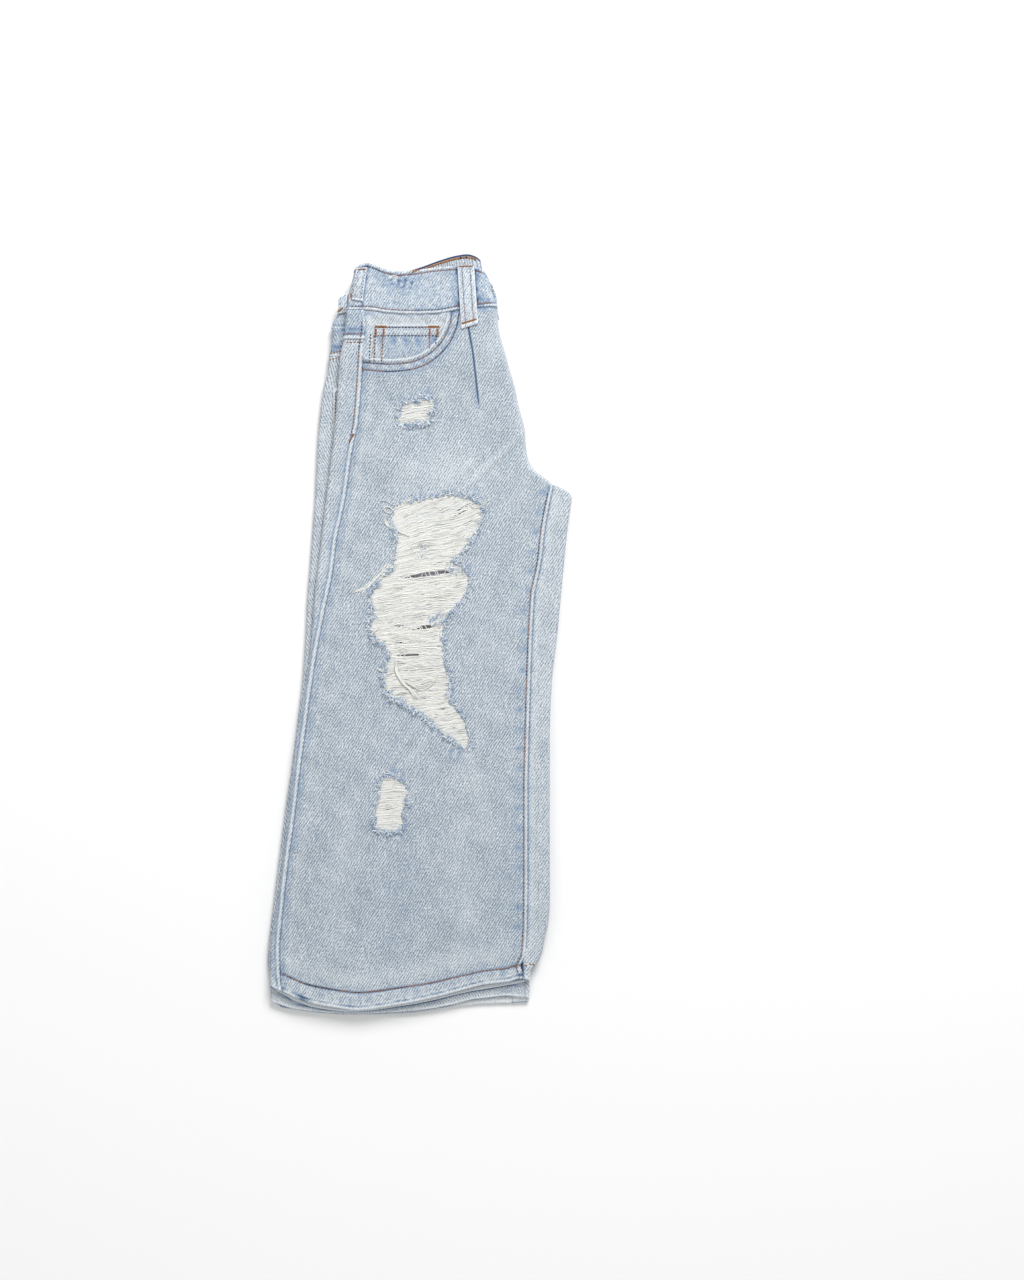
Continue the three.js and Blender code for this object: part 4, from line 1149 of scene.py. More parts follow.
RIGHT_LOOP = [(34, 322), (48, 322.4), (51.5, 272), (37.5, 267.5)]
SIDE_LOOP = [(-54, 320.5), (-45.5, 321), (-49.3, 291.5), (-58.3, 293)]
LEFT_LOOP = [(30, 307), (44, 308), (46, 258), (32, 257)]
LEFT_SIDE_LOOP = [(-70.5, 295), (-63, 299), (-63.6, 283.5), (-71, 281.5)]
belt_loop("cloth_right_front_loop", RIGHT, RIGHT_LOOP)
belt_loop("cloth_right_side_loop", RIGHT, SIDE_LOOP, stand=1.3)
belt_loop("cloth_left_front_loop", LEFT, LEFT_LOOP, thick=1.1, stand=0.3)
belt_loop("cloth_left_side_loop", RIGHT, LEFT_SIDE_LOOP, stand=0.6,
          level=float(middle(np.array(290.0))))


# %% Pocket pieces
def flat_piece(name, half, points, depth, thick, profile, lines=(), spacing=2.2, paler=0.05):
    """A flat piece under a half's face, from its outline. profile gives relief, and wear with
    painted shade.
    """
    ring = np.array([*points, points[0]], float)
    outline = resampled(ring, 1.4)[:-1]
    flat, faces = pattern(outline, [], list(lines), spacing, 8)
    x, y = flat.T
    relief, wear_and_shading = profile(x, y)
    face = side_face(half, y) - half.up * depth(x, y)
    outer, inner = (in_frame(x, y, face + half.up * lift) for lift in (relief, relief - thick))
    return shell(name, outer, inner, faces, flat, fading(x, y) + paler, np.clip(wear_and_shading, -2, 1))


def facing_profile(x, y):
    top = 281 - y
    relief = 0.25 * swell(x, y, 16, 6) + 0.25 * swell(x, y, 7, 7) * hump(y, 277, 4)
    # Painted shadow: a dark line along the facing's top, under the edge of the waistband.
    wear_and_shading = -0.8 * hump(top, 0, 1.6) + 0.35 * hump(top, 5, 3)
    wear_and_shading -= 0.5 * hump(y, 277, 2) * grain_noise(x, y, 5, 91)
    wear_and_shading -= 0.45 * hump(x, -46, 2)
    return relief, wear_and_shading


def coin_profile(x, y):
    top, left = 271.4 - y, x + 42
    relief = 0.4 * hump(top, 0.9, 1.0) - 0.2 * hump(top, 2.4, 0.7) - 0.2 * hump(top, 9.6, 0.8)
    relief += 0.2 * hump(left, 1.2, 1) + 0.12 * swell(x, y, 13, 14)
    pleat = np.cos((x + 5) * 2 * math.pi / 11.5 + 1.3 * swell(x, y, 30, 19))
    relief += 0.22 * pleat * hump(top, 14, 5)
    # The pocket's top edge is whiter. The dark lines at its rows of stitches are painted shade in
    # the stitch grooves.
    wear_and_shading = 0.75 * hump(top, 0.7, 0.8) + 0.2 * hump(top, 6, 2) - 1.3 * hump(top, 2.4, 0.7)
    wear_and_shading -= 1.2 * hump(top, 9.7, 0.7) + 0.8 * hump(x, -37.6 + 0.05 * (y - 268), 0.7)
    wear_and_shading -= 0.65 * hump(top, 13.8, 3.4) * np.clip(0.6 - 0.5 * pleat, 0, 1)
    wear_and_shading += 0.3 * pleat * hump(top, 15, 6) + 0.5 * hump(x, -37.5, 1.2)
    wear_and_shading -= 0.55 * smooth(10, 12, top) * grain_noise(x, y, 7, 92) * smooth(-36, -30, x)
    return relief, wear_and_shading


def low_under_scoop(deep, shallow):
    """Depth of a pocket piece, less where it comes up to the waist and side seams."""
    return lambda x, y: lerp(deep, shallow, np.maximum(smooth(272, 280, y), smooth(-41, -45, x)))


coin_top = [pairs(np.arange(-37, 18, 1.6), np.full(35, 271.4 - d))
            for d in (0.6, 1.2, 1.8, 2.4, 3.2, 4.4, 9, 9.6, 10.4)]
flat_piece("cloth_right_facing", RIGHT, FACING, low_under_scoop(2.3, 0.5), 0.9, facing_profile,
           paler=0.3)
flat_piece("cloth_right_coin_pocket", RIGHT, COIN_POCKET, low_under_scoop(1.35, 0.9), 0.85,
           coin_profile, coin_top)
left_facing = (np.array(FACING) + LEFT_SHIFT).tolist()
flat_piece("cloth_left_facing", LEFT, left_facing, low_under_scoop(2.6, 2.6), 0.9,
           lambda x, y: facing_profile(x + 10, y + 13))


# %% The back pocket
def back_pocket_profile(x, y):
    edge = ring_distance(pairs(x, y), np.array(BACK_POCKET, float))
    return 0.3 * hump(-edge, 1.2, 1.2), 0.9 * hump(-edge, 0.8, 1.2) - 0.3 * hump(-edge, 4, 1.5)


pocket_lines = beside(np.array([[-74.5, 216.0], [-74.0, 137.0]]), [1, 2, 3, 4.5], 2)
flat_piece("cloth_left_back_pocket", RIGHT, BACK_POCKET,
           lambda x, y: half_height(y) - SEAM_GAP / 2 - 1.1, 1.0, back_pocket_profile,
           pocket_lines, 4.5)


# %% [markdown]
# ## What lies inside
# Between the two halves the cloth is folded on itself, and only dark slits show it. The CAD
# holds it as one rounded solid. Here the same solid is drawn in lower under the holes, so that
# the bare threads can sag above it, and it takes the colour of the inside of the denim.

# %% The hidden layers
DRAWN_IN = 3.0        # how much lower the hidden layers lie than the solid's face


def hidden_layers():
    y = np.concatenate([np.arange(298, -284, -12), [-284]])[:, None]
    left = RIGHT.fold(y) + 8
    inset = lerp(8, 14, smooth(122, 135, y))
    right = np.minimum(RIGHT.edge(y), LEFT.edge(y)) - inset
    room = lerp(CLOTH + SEAM_GAP, CLOTH + SEAM_GAP + 3.8, smooth(204, 214, y))
    turn = np.linspace(0, 2 * math.pi, 64, endpoint=False)
    across = np.sign(np.cos(turn)) * np.abs(np.cos(turn)) ** 0.3
    rise = np.sign(np.sin(turn)) * np.abs(np.sin(turn)) ** 0.3
    x = left + (right - left) * (1 + across) / 2
    tall = half_height(y) - room
    lower = np.maximum(tall - DRAWN_IN, 0.6)
    lump = 0.35 * swell(x, y, 22, 71) + 0.3 * swell(x, y, 9, 72)
    z = middle(y) + np.where(rise > 0, lower * rise + lump * (rise > 0.9), tall * 0.5 * rise)
    points = in_frame(x, y + 0 * x, z).reshape(-1, 3)
    rows, n = len(y), len(turn)
    sides = tube_faces(rows, n)
    ends = [np.arange(n)[::-1][None], (np.arange(n) + (rows - 1) * n)[None]]
    if (face_normals(points, sides) * (points[sides[:, 0]] - points.mean(0))).sum() < 0:
        sides, ends = sides[:, ::-1], [e[:, ::-1] for e in ends]
    flat = pairs(x.ravel(), (y + 0 * x).ravel())
    shade = {"fade": np.full(len(points), 0.5), "wear_and_shading": np.zeros(len(points)),
             "inside": np.ones(len(points))}
    made = new_mesh("cloth_hidden_layers", points, [sides, *ends], flat, shade, 60)
    shells[made.name] = made
    return made


hidden_layers()
print(len(shells), "pieces of cloth,", sum(len(s.data.polygons) for s in shells.values()), "faces")

# %% [markdown]
# ## Bare weft threads
# Where the jeans are worn through, the blue warp has gone and the white weft still spans the
# hole. Each weft thread is a polyline worked out here, with the bunching, sag and slits of
# loose threads. Geometry Nodes turn all of them into tubes at once, with a thickness taken
# from an attribute, so that changing the thread means changing one tree input.

# %% The thread tree
def new_node(tree, kind, inputs=None, **settings):
    """A node with its settings, and with sockets or plain values on its inputs."""
    node = tree.nodes.new(kind)
    for key, value in settings.items():
        setattr(node, key, value)
    for key, value in (inputs or {}).items():
        if isinstance(value, bpy.types.NodeSocket):
            tree.links.new(value, node.inputs[key])
        else:
            node.inputs[key].default_value = value
    return node


def socketed_tree(name, kind, inputs, outputs):
    """An empty node group with the named sockets, its inputs and its end node."""
    tree = bpy.data.node_groups.new(name, kind)
    for label, socket_kind, value in inputs:
        socket = tree.interface.new_socket(label, in_out="INPUT", socket_type=socket_kind)
        if value is not None:
            socket.default_value = value
    for label, socket_kind in outputs:
        tree.interface.new_socket(label, in_out="OUTPUT", socket_type=socket_kind)
    return tree, new_node(tree, "NodeGroupInput").outputs, new_node(tree, "NodeGroupOutput")


def thread_tree():
    """Edges of a mesh become tubes whose radius is the points' own."""
    tree, start, end = socketed_tree(
        "threads", "GeometryNodeTree",
        [("Lines", "NodeSocketGeometry", None), ("Thickness", "NodeSocketFloat", 1.0),
         ("Sides", "NodeSocketInt", 5), ("Material", "NodeSocketMaterial", None)],
        [("Geometry", "NodeSocketGeometry")],
    )
    radius = new_node(tree, "GeometryNodeInputNamedAttribute", {"Name": "radius"})
    scale = new_node(tree, "ShaderNodeMath", {0: radius.outputs[0], 1: start["Thickness"]},
                     operation="MULTIPLY").outputs[0]
    curve = new_node(tree, "GeometryNodeMeshToCurve", {"Mesh": start["Lines"]})
    ring = new_node(tree, "GeometryNodeCurvePrimitiveCircle",
                    {"Resolution": start["Sides"], "Radius": 1.0})
    tube = new_node(tree, "GeometryNodeCurveToMesh",
                    {"Curve": curve.outputs[0], "Profile Curve": ring.outputs[0],
                     "Scale": scale, "Fill Caps": True})
    soft = new_node(tree, "GeometryNodeSetShadeSmooth", {0: tube.outputs[0]})
    real = new_node(tree, "GeometryNodeRealizeInstances", {0: soft.outputs[0]})
    done = new_node(tree, "GeometryNodeSetMaterial",
                    {"Geometry": real.outputs[0], "Material": start["Material"]})
    tree.links.new(done.outputs[0], end.inputs[0])
    return tree


# %% Growing a mesh from a tree
def grown(name, source, tree, material, **sizes):
    """A plain mesh made by a node tree from a source mesh; the source is removed."""
    modifier = source.modifiers.new("grow", "NODES")
    modifier.node_group = tree
    sockets = {item.name: item.identifier for item in tree.interface.items_tree
               if item.in_out == "INPUT"}
    for key, value in {**sizes, "Material": material}.items():
        modifier[sockets[key]] = value
    source.data.update()
    evaluated = source.evaluated_get(bpy.context.evaluated_depsgraph_get())
    mesh = bpy.data.meshes.new_from_object(evaluated)
    source.modifiers.remove(modifier)
    bpy.data.objects.remove(source)
    mesh.name = name
    print(name, len(mesh.polygons), "faces")
    return in_scene(name, mesh)


def line_mesh(name, lines, radii, tones):
    """One mesh of separate polylines in millimetres, with a radius and tone at each point."""
    points = np.vstack(lines)
    edges, start = [], 0
    for line in lines:
        k = np.arange(start, start + len(line) - 1)
        edges.append(pairs(k, k + 1))
        start += len(line)
    mesh = bpy.data.meshes.new(name)
    mesh.from_pydata(points / 1000, np.vstack(edges).tolist(), [])
    give(mesh, "radius", np.concatenate(radii) / 1000)
    give(mesh, "tone", np.concatenate(tones))
    return in_scene(name, mesh)


threads = thread_tree()

# %% Paths of the weft threads
SLITS = [  # from x, y to x, y, and half their opening
    (-14, 50.6, 36, 57.8, 2.0), (29, 103, 44, 112, 0.9), (31, 108, 46, 116.5, 0.8),
    (-3, 6.0, 14, 8.6, 1.7), (-21, -17.5, 7, -16.6, 1.1), (-21, -6.4, -10, -6.8, 0.6),
    (-2, 4, -24, 10.5, 0.4), (16, -10, 21, -7.5, 0.7), (16.5, -64, 24, -64.5, 0.6),
    (26, -78, 34, -83, 0.5), (-25, 8.2, -8, 9.0, 0.5), (12, 62, 22, 65, 0.4),
]


def weft_tilt(x, y):
    """The threads rise towards the inseam at the top of the knee, and level out below."""
    centre = 12 + 0.05 * y
    lean = curve_through({-170: 0.02, -60: 0.1, 0: 0.04, 60: 0.1, 122: 0.2, 205: 0.05})
    bend = curve_through({-170: 0, 0: 0.0008, 60: 0.0012, 122: 0.004, 205: 0.001})
    return lean(y) * (x - centre) + bend(y) * (x - centre) * np.abs(x - centre)


def weft_lines(outline, pitch, depth, sag, seed, radius):
    """Polylines across a hole, each running a little way under its edges."""
    rng = np.random.default_rng(seed)
    low, high = outline.min(0), outline.max(0)
    base = np.arange(low[1] - 14, high[1] + 14, pitch)
    base = (base + rng.normal(0, 0.14, len(base)))[:, None]
    x = np.arange(low[0] - 2.5, high[0] + 2.5, 1.7)[None]
    y = base + weft_tilt(x, base)
    y += 0.75 * swell(x * 0.35, y, 11, seed + 1) + 0.5 * swell(x * 0.5, y, 5.5, seed + 2)
    y += 0.13 * swell(x, base * 9, 13, seed + 3)
    for x0, y0, x1, y1, opening in SLITS:
        t = np.clip((x - x0) / (x1 - x0), 0, 1)
        lens = np.sin(t * math.pi) ** 0.7
        off = y - (y0 + (y1 - y0) * t)
        y += np.sign(off) * opening * lens * np.exp(-(np.abs(off) / (2.2 + 2 * opening)))
    flat = pairs((x + 0 * y).ravel(), y.ravel())
    inside = -ring_distance(flat, outline).reshape(y.shape)
    drop = depth + sag * smooth(0, 11, inside) * (0.7 + 0.3 * swell(x, y, 24, seed + 5))
    drop += 0.18 * swell(x * 0.6, base * 7, 8, seed + 6) * smooth(-1, 3, inside)
    drop += rng.normal(0, 0.12, base.shape)
    z = middle(y) + half_height(y) - drop
    lines = []
    for row in range(len(base)):
        kept = inside[row] > -1.9
        ends = np.flatnonzero(np.diff(np.concatenate([[0], kept.astype(int), [0]])))
        for first, last in zip(ends[::2], ends[1::2]):
            if last - first > 2:
                part = slice(first, last)
                lines.append(in_frame(x[0, part], y[row, part], z[row, part]))
    radii = [np.full(len(line), radius * rng.uniform(0.8, 1.2)) for line in lines]
    tones = [np.full(len(line), rng.uniform(0, 0.16)) for line in lines]
    return lines, radii, tones


# %% Fibres of the torn edges
def tuft_lines(outline, seed, per_mm, length=(1.8, 5.0), blue=0.55, radius=(0.2, 0.36)):
    """Loose fibres round a hole: dense at its upper and lower edges and at the clumps, and sparse
    at its sides.
    """
    rng = np.random.default_rng(seed)
    ring = resampled(np.vstack([outline, outline[:1]]), 0.25)
    level = edge_slope(ring, outline)
    chance = per_mm * 0.25 * (0.15 + 0.4 * level ** 2 + 1.7 * clumps(*ring.T))
    chosen = np.repeat(np.arange(len(ring)), rng.poisson(chance))
    ahead = np.gradient(ring, axis=0)
    clockwise = np.dot(ring[:, 0], ahead[:, 1]) < 0
    away = np.arctan2(-ahead[:, 0], ahead[:, 1]) + clockwise * math.pi
    roots = ring[chosen] + rng.normal(0, 0.8, (len(chosen), 2))
    roots += pairs(np.cos(away), np.sin(away))[chosen] * 1.7
    lines, radii, tones = [], [], []
    for (x, y), outward in zip(roots, away[chosen]):
        reach = rng.uniform(*length)
        angle = outward + rng.normal(0, 0.9) + (math.pi if rng.random() < 0.12 else 0)
        curl = rng.normal(0, 1.3)
        t = np.linspace(0, 1, 5)
        heading = angle + curl * t
        px = x + np.concatenate([[0], np.cumsum(np.cos(heading[1:]))]) * reach / 4
        py = y + np.concatenate([[0], np.cumsum(np.sin(heading[1:]))]) * reach / 4
        lift = 0.35 + (0.3 + rng.uniform(0, 0.9)) * np.sin(t * math.pi * rng.uniform(0.6, 1))
        z = middle(py) + half_height(py) + lift
        lines.append(in_frame(px, py, z))
        thick = rng.uniform(*radius)
        radii.append(thick * np.array([1, 1, 0.95, 0.8, 0.45]))
        indigo = rng.random() < blue
        tones.append(np.full(5, rng.uniform(0.4, 1.0) if indigo else rng.uniform(0, 0.25)))
    return lines, radii, tones


# %% Loose threads
def drawn_thread(points, radius, tone, lift):
    """A loose thread through given places on the face, [x, y] each."""
    path = path_through(points, 1.1)
    t = np.linspace(0, 1, len(path))
    rise = lift * np.sin(t * math.pi) ** 0.5 - 0.1
    z = middle(path[:, 1]) + half_height(path[:, 1]) + rise
    thick = radius * np.clip(8 * t * (1 - t), 0.4, 1)
    return in_frame(*path.T, z), thick, np.full(len(path), tone)


LOOSE = [  # places on the face, radius, tone and lift
    ([(-20.1, -23.2), (-18.8, -34.6), (-11.4, -43.3), (-6.5, -48.5), (-3.5, -51.2),
      (0, -56.4)], 0.62, 0.02, 0.3),
    ([(-21, -22), (-20, -33), (-13, -42.6), (-7.5, -48.6), (-4, -56)], 0.5, 0.03, 0.5),
    ([(-16, -36), (-14, -38.9), (-5, -44.5), (2.6, -47.3), (9.6, -44.2), (15.7, -36.3),
      (18.4, -30.2)], 0.34, 0.02, 0.5),
    ([(-18, -33.5), (-10, -41), (-2, -44.8), (4, -46)], 0.3, 0.05, 0.4),
    ([(-56, 38.9), (-48, 41), (-41.1, 44.2), (-33, 51), (-25.4, 59.1)], 0.34, 0.05, 0.4),
    ([(-54, 36.5), (-46, 41.5), (-38, 48), (-27, 57.5)], 0.25, 0.1, 0.5),
    ([(-49, -3), (-44, 0.5), (-38, 4), (-33.3, 8.3)], 0.3, 0.04, 0.5),
    ([(-47.3, -1.3), (-40, 3.2), (-33.3, 8.3)], 0.24, 0.1, 0.6),
    ([(-34.1, -12.7), (-33.2, -8.5), (-31.9, -4.8), (-28, -3.6)], 0.34, 0.03, 0.5),
    ([(63, 119.4), (59, 116.8), (55, 113.4), (51.6, 112.4)], 0.36, 0.03, 0.6),
    ([(58, 111), (54.5, 112.4), (48, 112), (44, 114.5)], 0.34, 0.05, 0.5),
    ([(47.3, 77.4), (42, 76.4), (35, 72.2), (31, 70)], 0.34, 0.05, 0.5),
    ([(-27.6, 106.7), (-30.6, 109.8), (-30.2, 112.2), (-26.5, 112.6), (-23.6, 110.4),
      (-24.4, 107.3), (-27.4, 107.4), (-28.6, 109.6)], 0.5, 0.02, 0.5),
    ([(-36, 118.6), (-29, 117.8), (-22, 114.6), (-15, 116.8)], 0.25, 0.1, 0.6),
    ([(20, 119.5), (30, 123), (40, 130), (45, 134.6)], 0.26, 0.05, 0.4),
    ([(-14, 196), (-19, 198.6), (-24, 199)], 0.28, 0.1, 0.5),
    ([(12, 204), (18, 208.4), (22, 214)], 0.24, 0.05, 0.5),
    ([(-12, 203), (-8, 207.6), (-3, 209)], 0.24, 0.3, 0.5),
    ([(-9.6, 240.5), (-11.6, 246.4), (-9.8, 249.4)], 0.22, 0.05, 0.5),
    ([(-15.5, 241), (-12, 239), (-9, 241.6), (-7.4, 244.4)], 0.24, 0.05, 0.4),
    ([(-26.6, 312.4), (-22, 314.4), (-17.6, 312.2), (-21, 311.4)], 0.34, 0.04, 0.4),
    ([(-26, 311.2), (-22.4, 312.8), (-18.4, 311)], 0.3, 0.04, 0.3),
]


def bundle(points, spread, count, seed):
    """Loose threads lying side by side along one path, [x, y] each."""
    rng = np.random.default_rng(seed)
    moved = rng.normal(0, spread, (count, len(points), 2))
    return [((np.array(points) + step).tolist(), 0.36, 0.03, 0.5) for step in moved]


LOOSE += bundle([(-20, -23), (-18.6, -34), (-12, -42.5), (-4.6, -50), (-1, -56)], 0.75, 7, 3)
LOOSE += bundle([(-58, 37.5), (-46, 42), (-36, 51), (-27, 60), (-20, 62)], 1.1, 6, 4)
LOOSE += bundle([(-31, 104), (-27, 97), (-18, 91), (-8, 88)], 1.0, 4, 5)


# %% Islands of cloth left in the knee
ISLANDS = [  # x, y, half its width, half its height, and its lean
    (1.6, 74.6, 5.4, 2.6, 0.35), (30.6, 60.6, 7.0, 3.4, 0.5), (15.5, 14.2, 7.5, 2.6, 0.3),
]


def island(k, x0, y0, wide, high, lean):
    turn = np.linspace(0, 2 * math.pi, 12, endpoint=False)
    ring = pairs(wide * np.cos(turn), high * np.sin(turn))
    spin = np.array([[math.cos(lean), math.sin(lean)], [-math.sin(lean), math.cos(lean)]])
    outline = torn(ring @ spin + [x0, y0], 90 + k, 0.7, 0.6)
    flat, faces = pattern(outline, [], [], 1.0, 5)
    x, y = flat.T
    gap = -ring_distance(flat, outline)
    lift = -1.0 + 0.55 * smooth(0, 2, gap) + 0.15 * swell(x, y, 4, 3)
    face = side_face(RIGHT, y)
    outer, inner = (in_frame(x, y, face + height) for height in (lift, lift - 0.5))
    wear_and_shading = np.clip(0.1 - 1.1 * grain_noise(x, y, 4, 11), -1, 1)
    return shell(f"cloth_knee_island_{k + 1}", outer, inner, faces, flat,
                 np.full(len(x), 0.85), wear_and_shading)


for k, place_of in enumerate(ISLANDS):
    island(k, *place_of)

# %% [markdown]
# ## Denim as a material
# Denim is a twill: indigo warp over white weft, seen as fine slanting lines. Washing lifts the
# indigo from whatever stands up and leaves it in the dips, so each piece carries three attributes:
# fade, wear (white above 0, indigo below it) and inside. Besides real fading and wear, the first
# two also carry painted light and shade. That is dark lines at the edges of seams, in stitch
# grooves, beside belt loops and between the layers of hems, and paler, whiter turned-in faces of
# hems. One node group turns them and the piece's own flat coordinates into a colour and a height,
# and every cloth material uses that group. The flat coordinates keep the grain straight on each cut
# piece.

# %% Colours and small node helpers
def colour(red, green, blue):
    """A screen colour, 0 to 255, as linear values with alpha."""
    parts = [c / 255 for c in (red, green, blue)]
    return (*[c / 12.92 if c < 0.04 else ((c + 0.055) / 1.055) ** 2.4 for c in parts], 1.0)


def math_node(tree, operation, a, b=0.0, c=None, clamp=False):
    inputs = {0: a, 1: b} if c is None else {0: a, 1: b, 2: c}
    node = new_node(tree, "ShaderNodeMath", inputs, operation=operation, use_clamp=clamp)
    return node.outputs[0]


def scaled(tree, value, factor, offset=0.0):
    """A value times a factor plus an offset, kept between 0 and 1."""
    return math_node(tree, "MULTIPLY_ADD", value, factor, offset, clamp=True)


def mixed(tree, factor, a, b):
    node = new_node(tree, "ShaderNodeMix", {0: factor, 6: a, 7: b}, data_type="RGBA",
                    clamp_factor=True)
    return node.outputs[2]


def stretched(tree, vector, scale):
    node = new_node(tree, "ShaderNodeMapping", {"Vector": vector, "Scale": scale})
    return node.outputs[0]


def noise(tree, vector, scale, detail=2.0, rough=0.5):
    node = new_node(tree, "ShaderNodeTexNoise", {"Vector": vector, "Scale": scale,
                    "Detail": detail, "Roughness": rough}, noise_dimensions="3D")
    return node.outputs[0]


def plain_material(name, rough, specular, metal=0.0):
    made = bpy.data.materials.new(name)
    made.use_nodes = True
    surface = made.node_tree.nodes["Principled BSDF"]
    surface.inputs["Roughness"].default_value = rough
    surface.inputs["Specular IOR Level"].default_value = specular
    surface.inputs["Metallic"].default_value = metal
    return made, made.node_tree, surface


def coat(tree, surface, base, height, strength, distance):
    """Give a surface its colour and its bumps."""
    bumped = new_node(tree, "ShaderNodeBump", {"Height": height, "Strength": strength,
                      "Distance": distance})
    tree.links.new(base, surface.inputs["Base Color"])
    tree.links.new(bumped.outputs[0], surface.inputs["Normal"])


def own_attribute(tree, name):
    return new_node(tree, "ShaderNodeAttribute", attribute_name=name).outputs["Fac"]


# %% The denim group
def denim_group():
    tree, given, result = socketed_tree(
        "denim_cloth", "ShaderNodeTree",
        [("Place", "NodeSocketVector", None), ("Fade", "NodeSocketFloat", 0.6),
         ("Wear_and_shading", "NodeSocketFloat", 0.0), ("Inside", "NodeSocketFloat", 0.0),
         ("Washed", "NodeSocketColor", colour(212, 217, 221)),
         ("Unwashed", "NodeSocketColor", colour(122, 138, 154)),
         ("Indigo_and_shade", "NodeSocketColor", colour(118, 144, 175)),
         ("Deep", "NodeSocketColor", colour(52, 62, 86)),
         ("Rubbed", "NodeSocketColor", colour(220, 226, 230)),
         ("Reverse", "NodeSocketColor", colour(168, 171, 177)),
         ("Twill lines per metre", "NodeSocketFloat", 500.0)],
        [("Colour", "NodeSocketColor"), ("Height", "NodeSocketFloat")],
    )
    place = given["Place"]
    parts = new_node(tree, "ShaderNodeSeparateXYZ", {0: place})
    u, v = parts.outputs[0], parts.outputs[1]
    weave = noise(tree, place, 130, 2)
    mottle = noise(tree, place, 52, 4, 0.6)
    specks = noise(tree, stretched(tree, place, (800, 430, 1)), 1.0, 2, 0.7)
    salt = noise(tree, place, 560, 2, 0.85)
    slubs = noise(tree, stretched(tree, place, (820, 60, 1)), 1.0, 3)

    slant = math_node(tree, "SUBTRACT", math_node(tree, "MULTIPLY", u, 0.848),
                      math_node(tree, "MULTIPLY", v, 0.53))
    count = math_node(tree, "MULTIPLY", slant, given["Twill lines per metre"])
    count = math_node(tree, "ADD", count, math_node(tree, "MULTIPLY", weave, 1.3))
    line = math_node(tree, "SINE", math_node(tree, "MULTIPLY", count, 2 * math.pi))
    line = math_node(tree, "MULTIPLY_ADD", line, 0.5, 0.5)
    cords = math_node(tree, "MULTIPLY", line, scaled(tree, specks, 4.0, -1.3))

    tone = given["Fade"]
    for field, strength in ((mottle, 0.3), (slubs, 0.7), (specks, 1.2), (salt, 2.6)):
        tone = math_node(tree, "MULTIPLY_ADD", math_node(tree, "SUBTRACT", field, 0.5), strength,
                         tone)
    tone = scaled(tree, cords, -1.1, math_node(tree, "ADD", tone, 0.3))
    base = mixed(tree, tone, given["Unwashed"], given["Washed"])

    # Below 0 the wear value tints towards indigo, and below -1 towards the deep colour: worn
    # indigo, and painted shade at seam edges, stitch grooves, belt loops and hem layers. Above 0 it
    # whitens towards the rubbed colour: rubbed cotton, and painted light on turned-in hems.
    dip = scaled(tree, given["Wear_and_shading"], -1.0)
    patchy = scaled(tree, noise(tree, place, 420, 3, 0.7), 2.6, -0.55)
    base = mixed(tree, math_node(tree, "MULTIPLY", dip, patchy), base, given["Indigo_and_shade"])
    deep = scaled(tree, given["Wear_and_shading"], -1.0, -1.0)
    base = mixed(tree, deep, base, given["Deep"])
    high = scaled(tree, given["Wear_and_shading"], 1.0)
    rubbed_and_highlight_patches = scaled(tree, noise(tree, place, 300, 3, 0.6), 1.5, 0.1)
    base = mixed(tree, math_node(tree, "MULTIPLY", high, rubbed_and_highlight_patches), base, given["Rubbed"])

    weft = math_node(tree, "MULTIPLY", specks, 0.3)
    reverse = mixed(tree, weft, given["Reverse"], given["Unwashed"])
    base = mixed(tree, given["Inside"], base, reverse)
    height = math_node(tree, "MULTIPLY_ADD", specks, 0.7, cords)
    height = math_node(tree, "MULTIPLY_ADD", slubs, 0.5, height)
    tree.links.new(base, result.inputs[0])
    tree.links.new(height, result.inputs[1])
    return tree


# %% Materials made from the group
denim_cloth = denim_group()


def cloth_material(name, **colours):
    """A denim material; colours replace the group's own by name."""
    made, tree, surface = plain_material(name, 0.92, 0.22)
    flat = new_node(tree, "ShaderNodeUVMap", uv_map="cloth").outputs[0]
    cloth = new_node(tree, "ShaderNodeGroup", node_tree=denim_cloth)
    tree.links.new(flat, cloth.inputs["Place"])
    for key in ("Fade", "Wear_and_shading", "Inside"):
        tree.links.new(own_attribute(tree, key.lower()), cloth.inputs[key])
    for key, value in colours.items():
        cloth.inputs[key].default_value = value
    coat(tree, surface, cloth.outputs["Colour"], cloth.outputs["Height"], 0.9, 0.00022)
    surface.inputs["Sheen Weight"].default_value = 0.12
    surface.inputs["Sheen Roughness"].default_value = 0.5
    return made


denim = cloth_material("washed denim")
denim_inside = cloth_material("denim inside", Reverse=colour(214, 210, 218))
print("cloth materials:", denim.name, "and", denim_inside.name)


# %% [markdown]
# ## Threads, stitches and metal
# Weft is undyed cotton: off-white, matt and fuzzy, with painted shade that greys it in the dips of
# its fuzz. Tone 1 makes the same thread indigo. The sewing thread was orange before the wash and
# now is faded to rust. Its dark tone stands for indigo caught in it and also for painted shade
# where the stitches sink into the cloth, and each stitch's tone picks between the two. The button
# is plain antique metal.

# %% Thread and metal materials
def thread_material(name, light, shade, deep, grain, bump):
    """Tone 0 is a mix of light and shade, and tone 1 is deep."""
    made, tree, surface = plain_material(name, 0.9, 0.2)
    place = new_node(tree, "ShaderNodeTexCoord").outputs["Object"]
    fuzz = noise(tree, stretched(tree, place, grain), 1.0, 3, 0.65)
    soft = scaled(tree, fuzz, 1.8, -0.4)
    # Painted shade: the same fuzz that gives the bump picks the shade colour where it is low, so
    # the thread is greyer in its dips.
    base = mixed(tree, soft, shade, light)
    base = mixed(tree, own_attribute(tree, "tone"), base, deep)
    coat(tree, surface, base, fuzz, 0.8, bump)
    surface.inputs["Sheen Weight"].default_value = 0.15
    return made


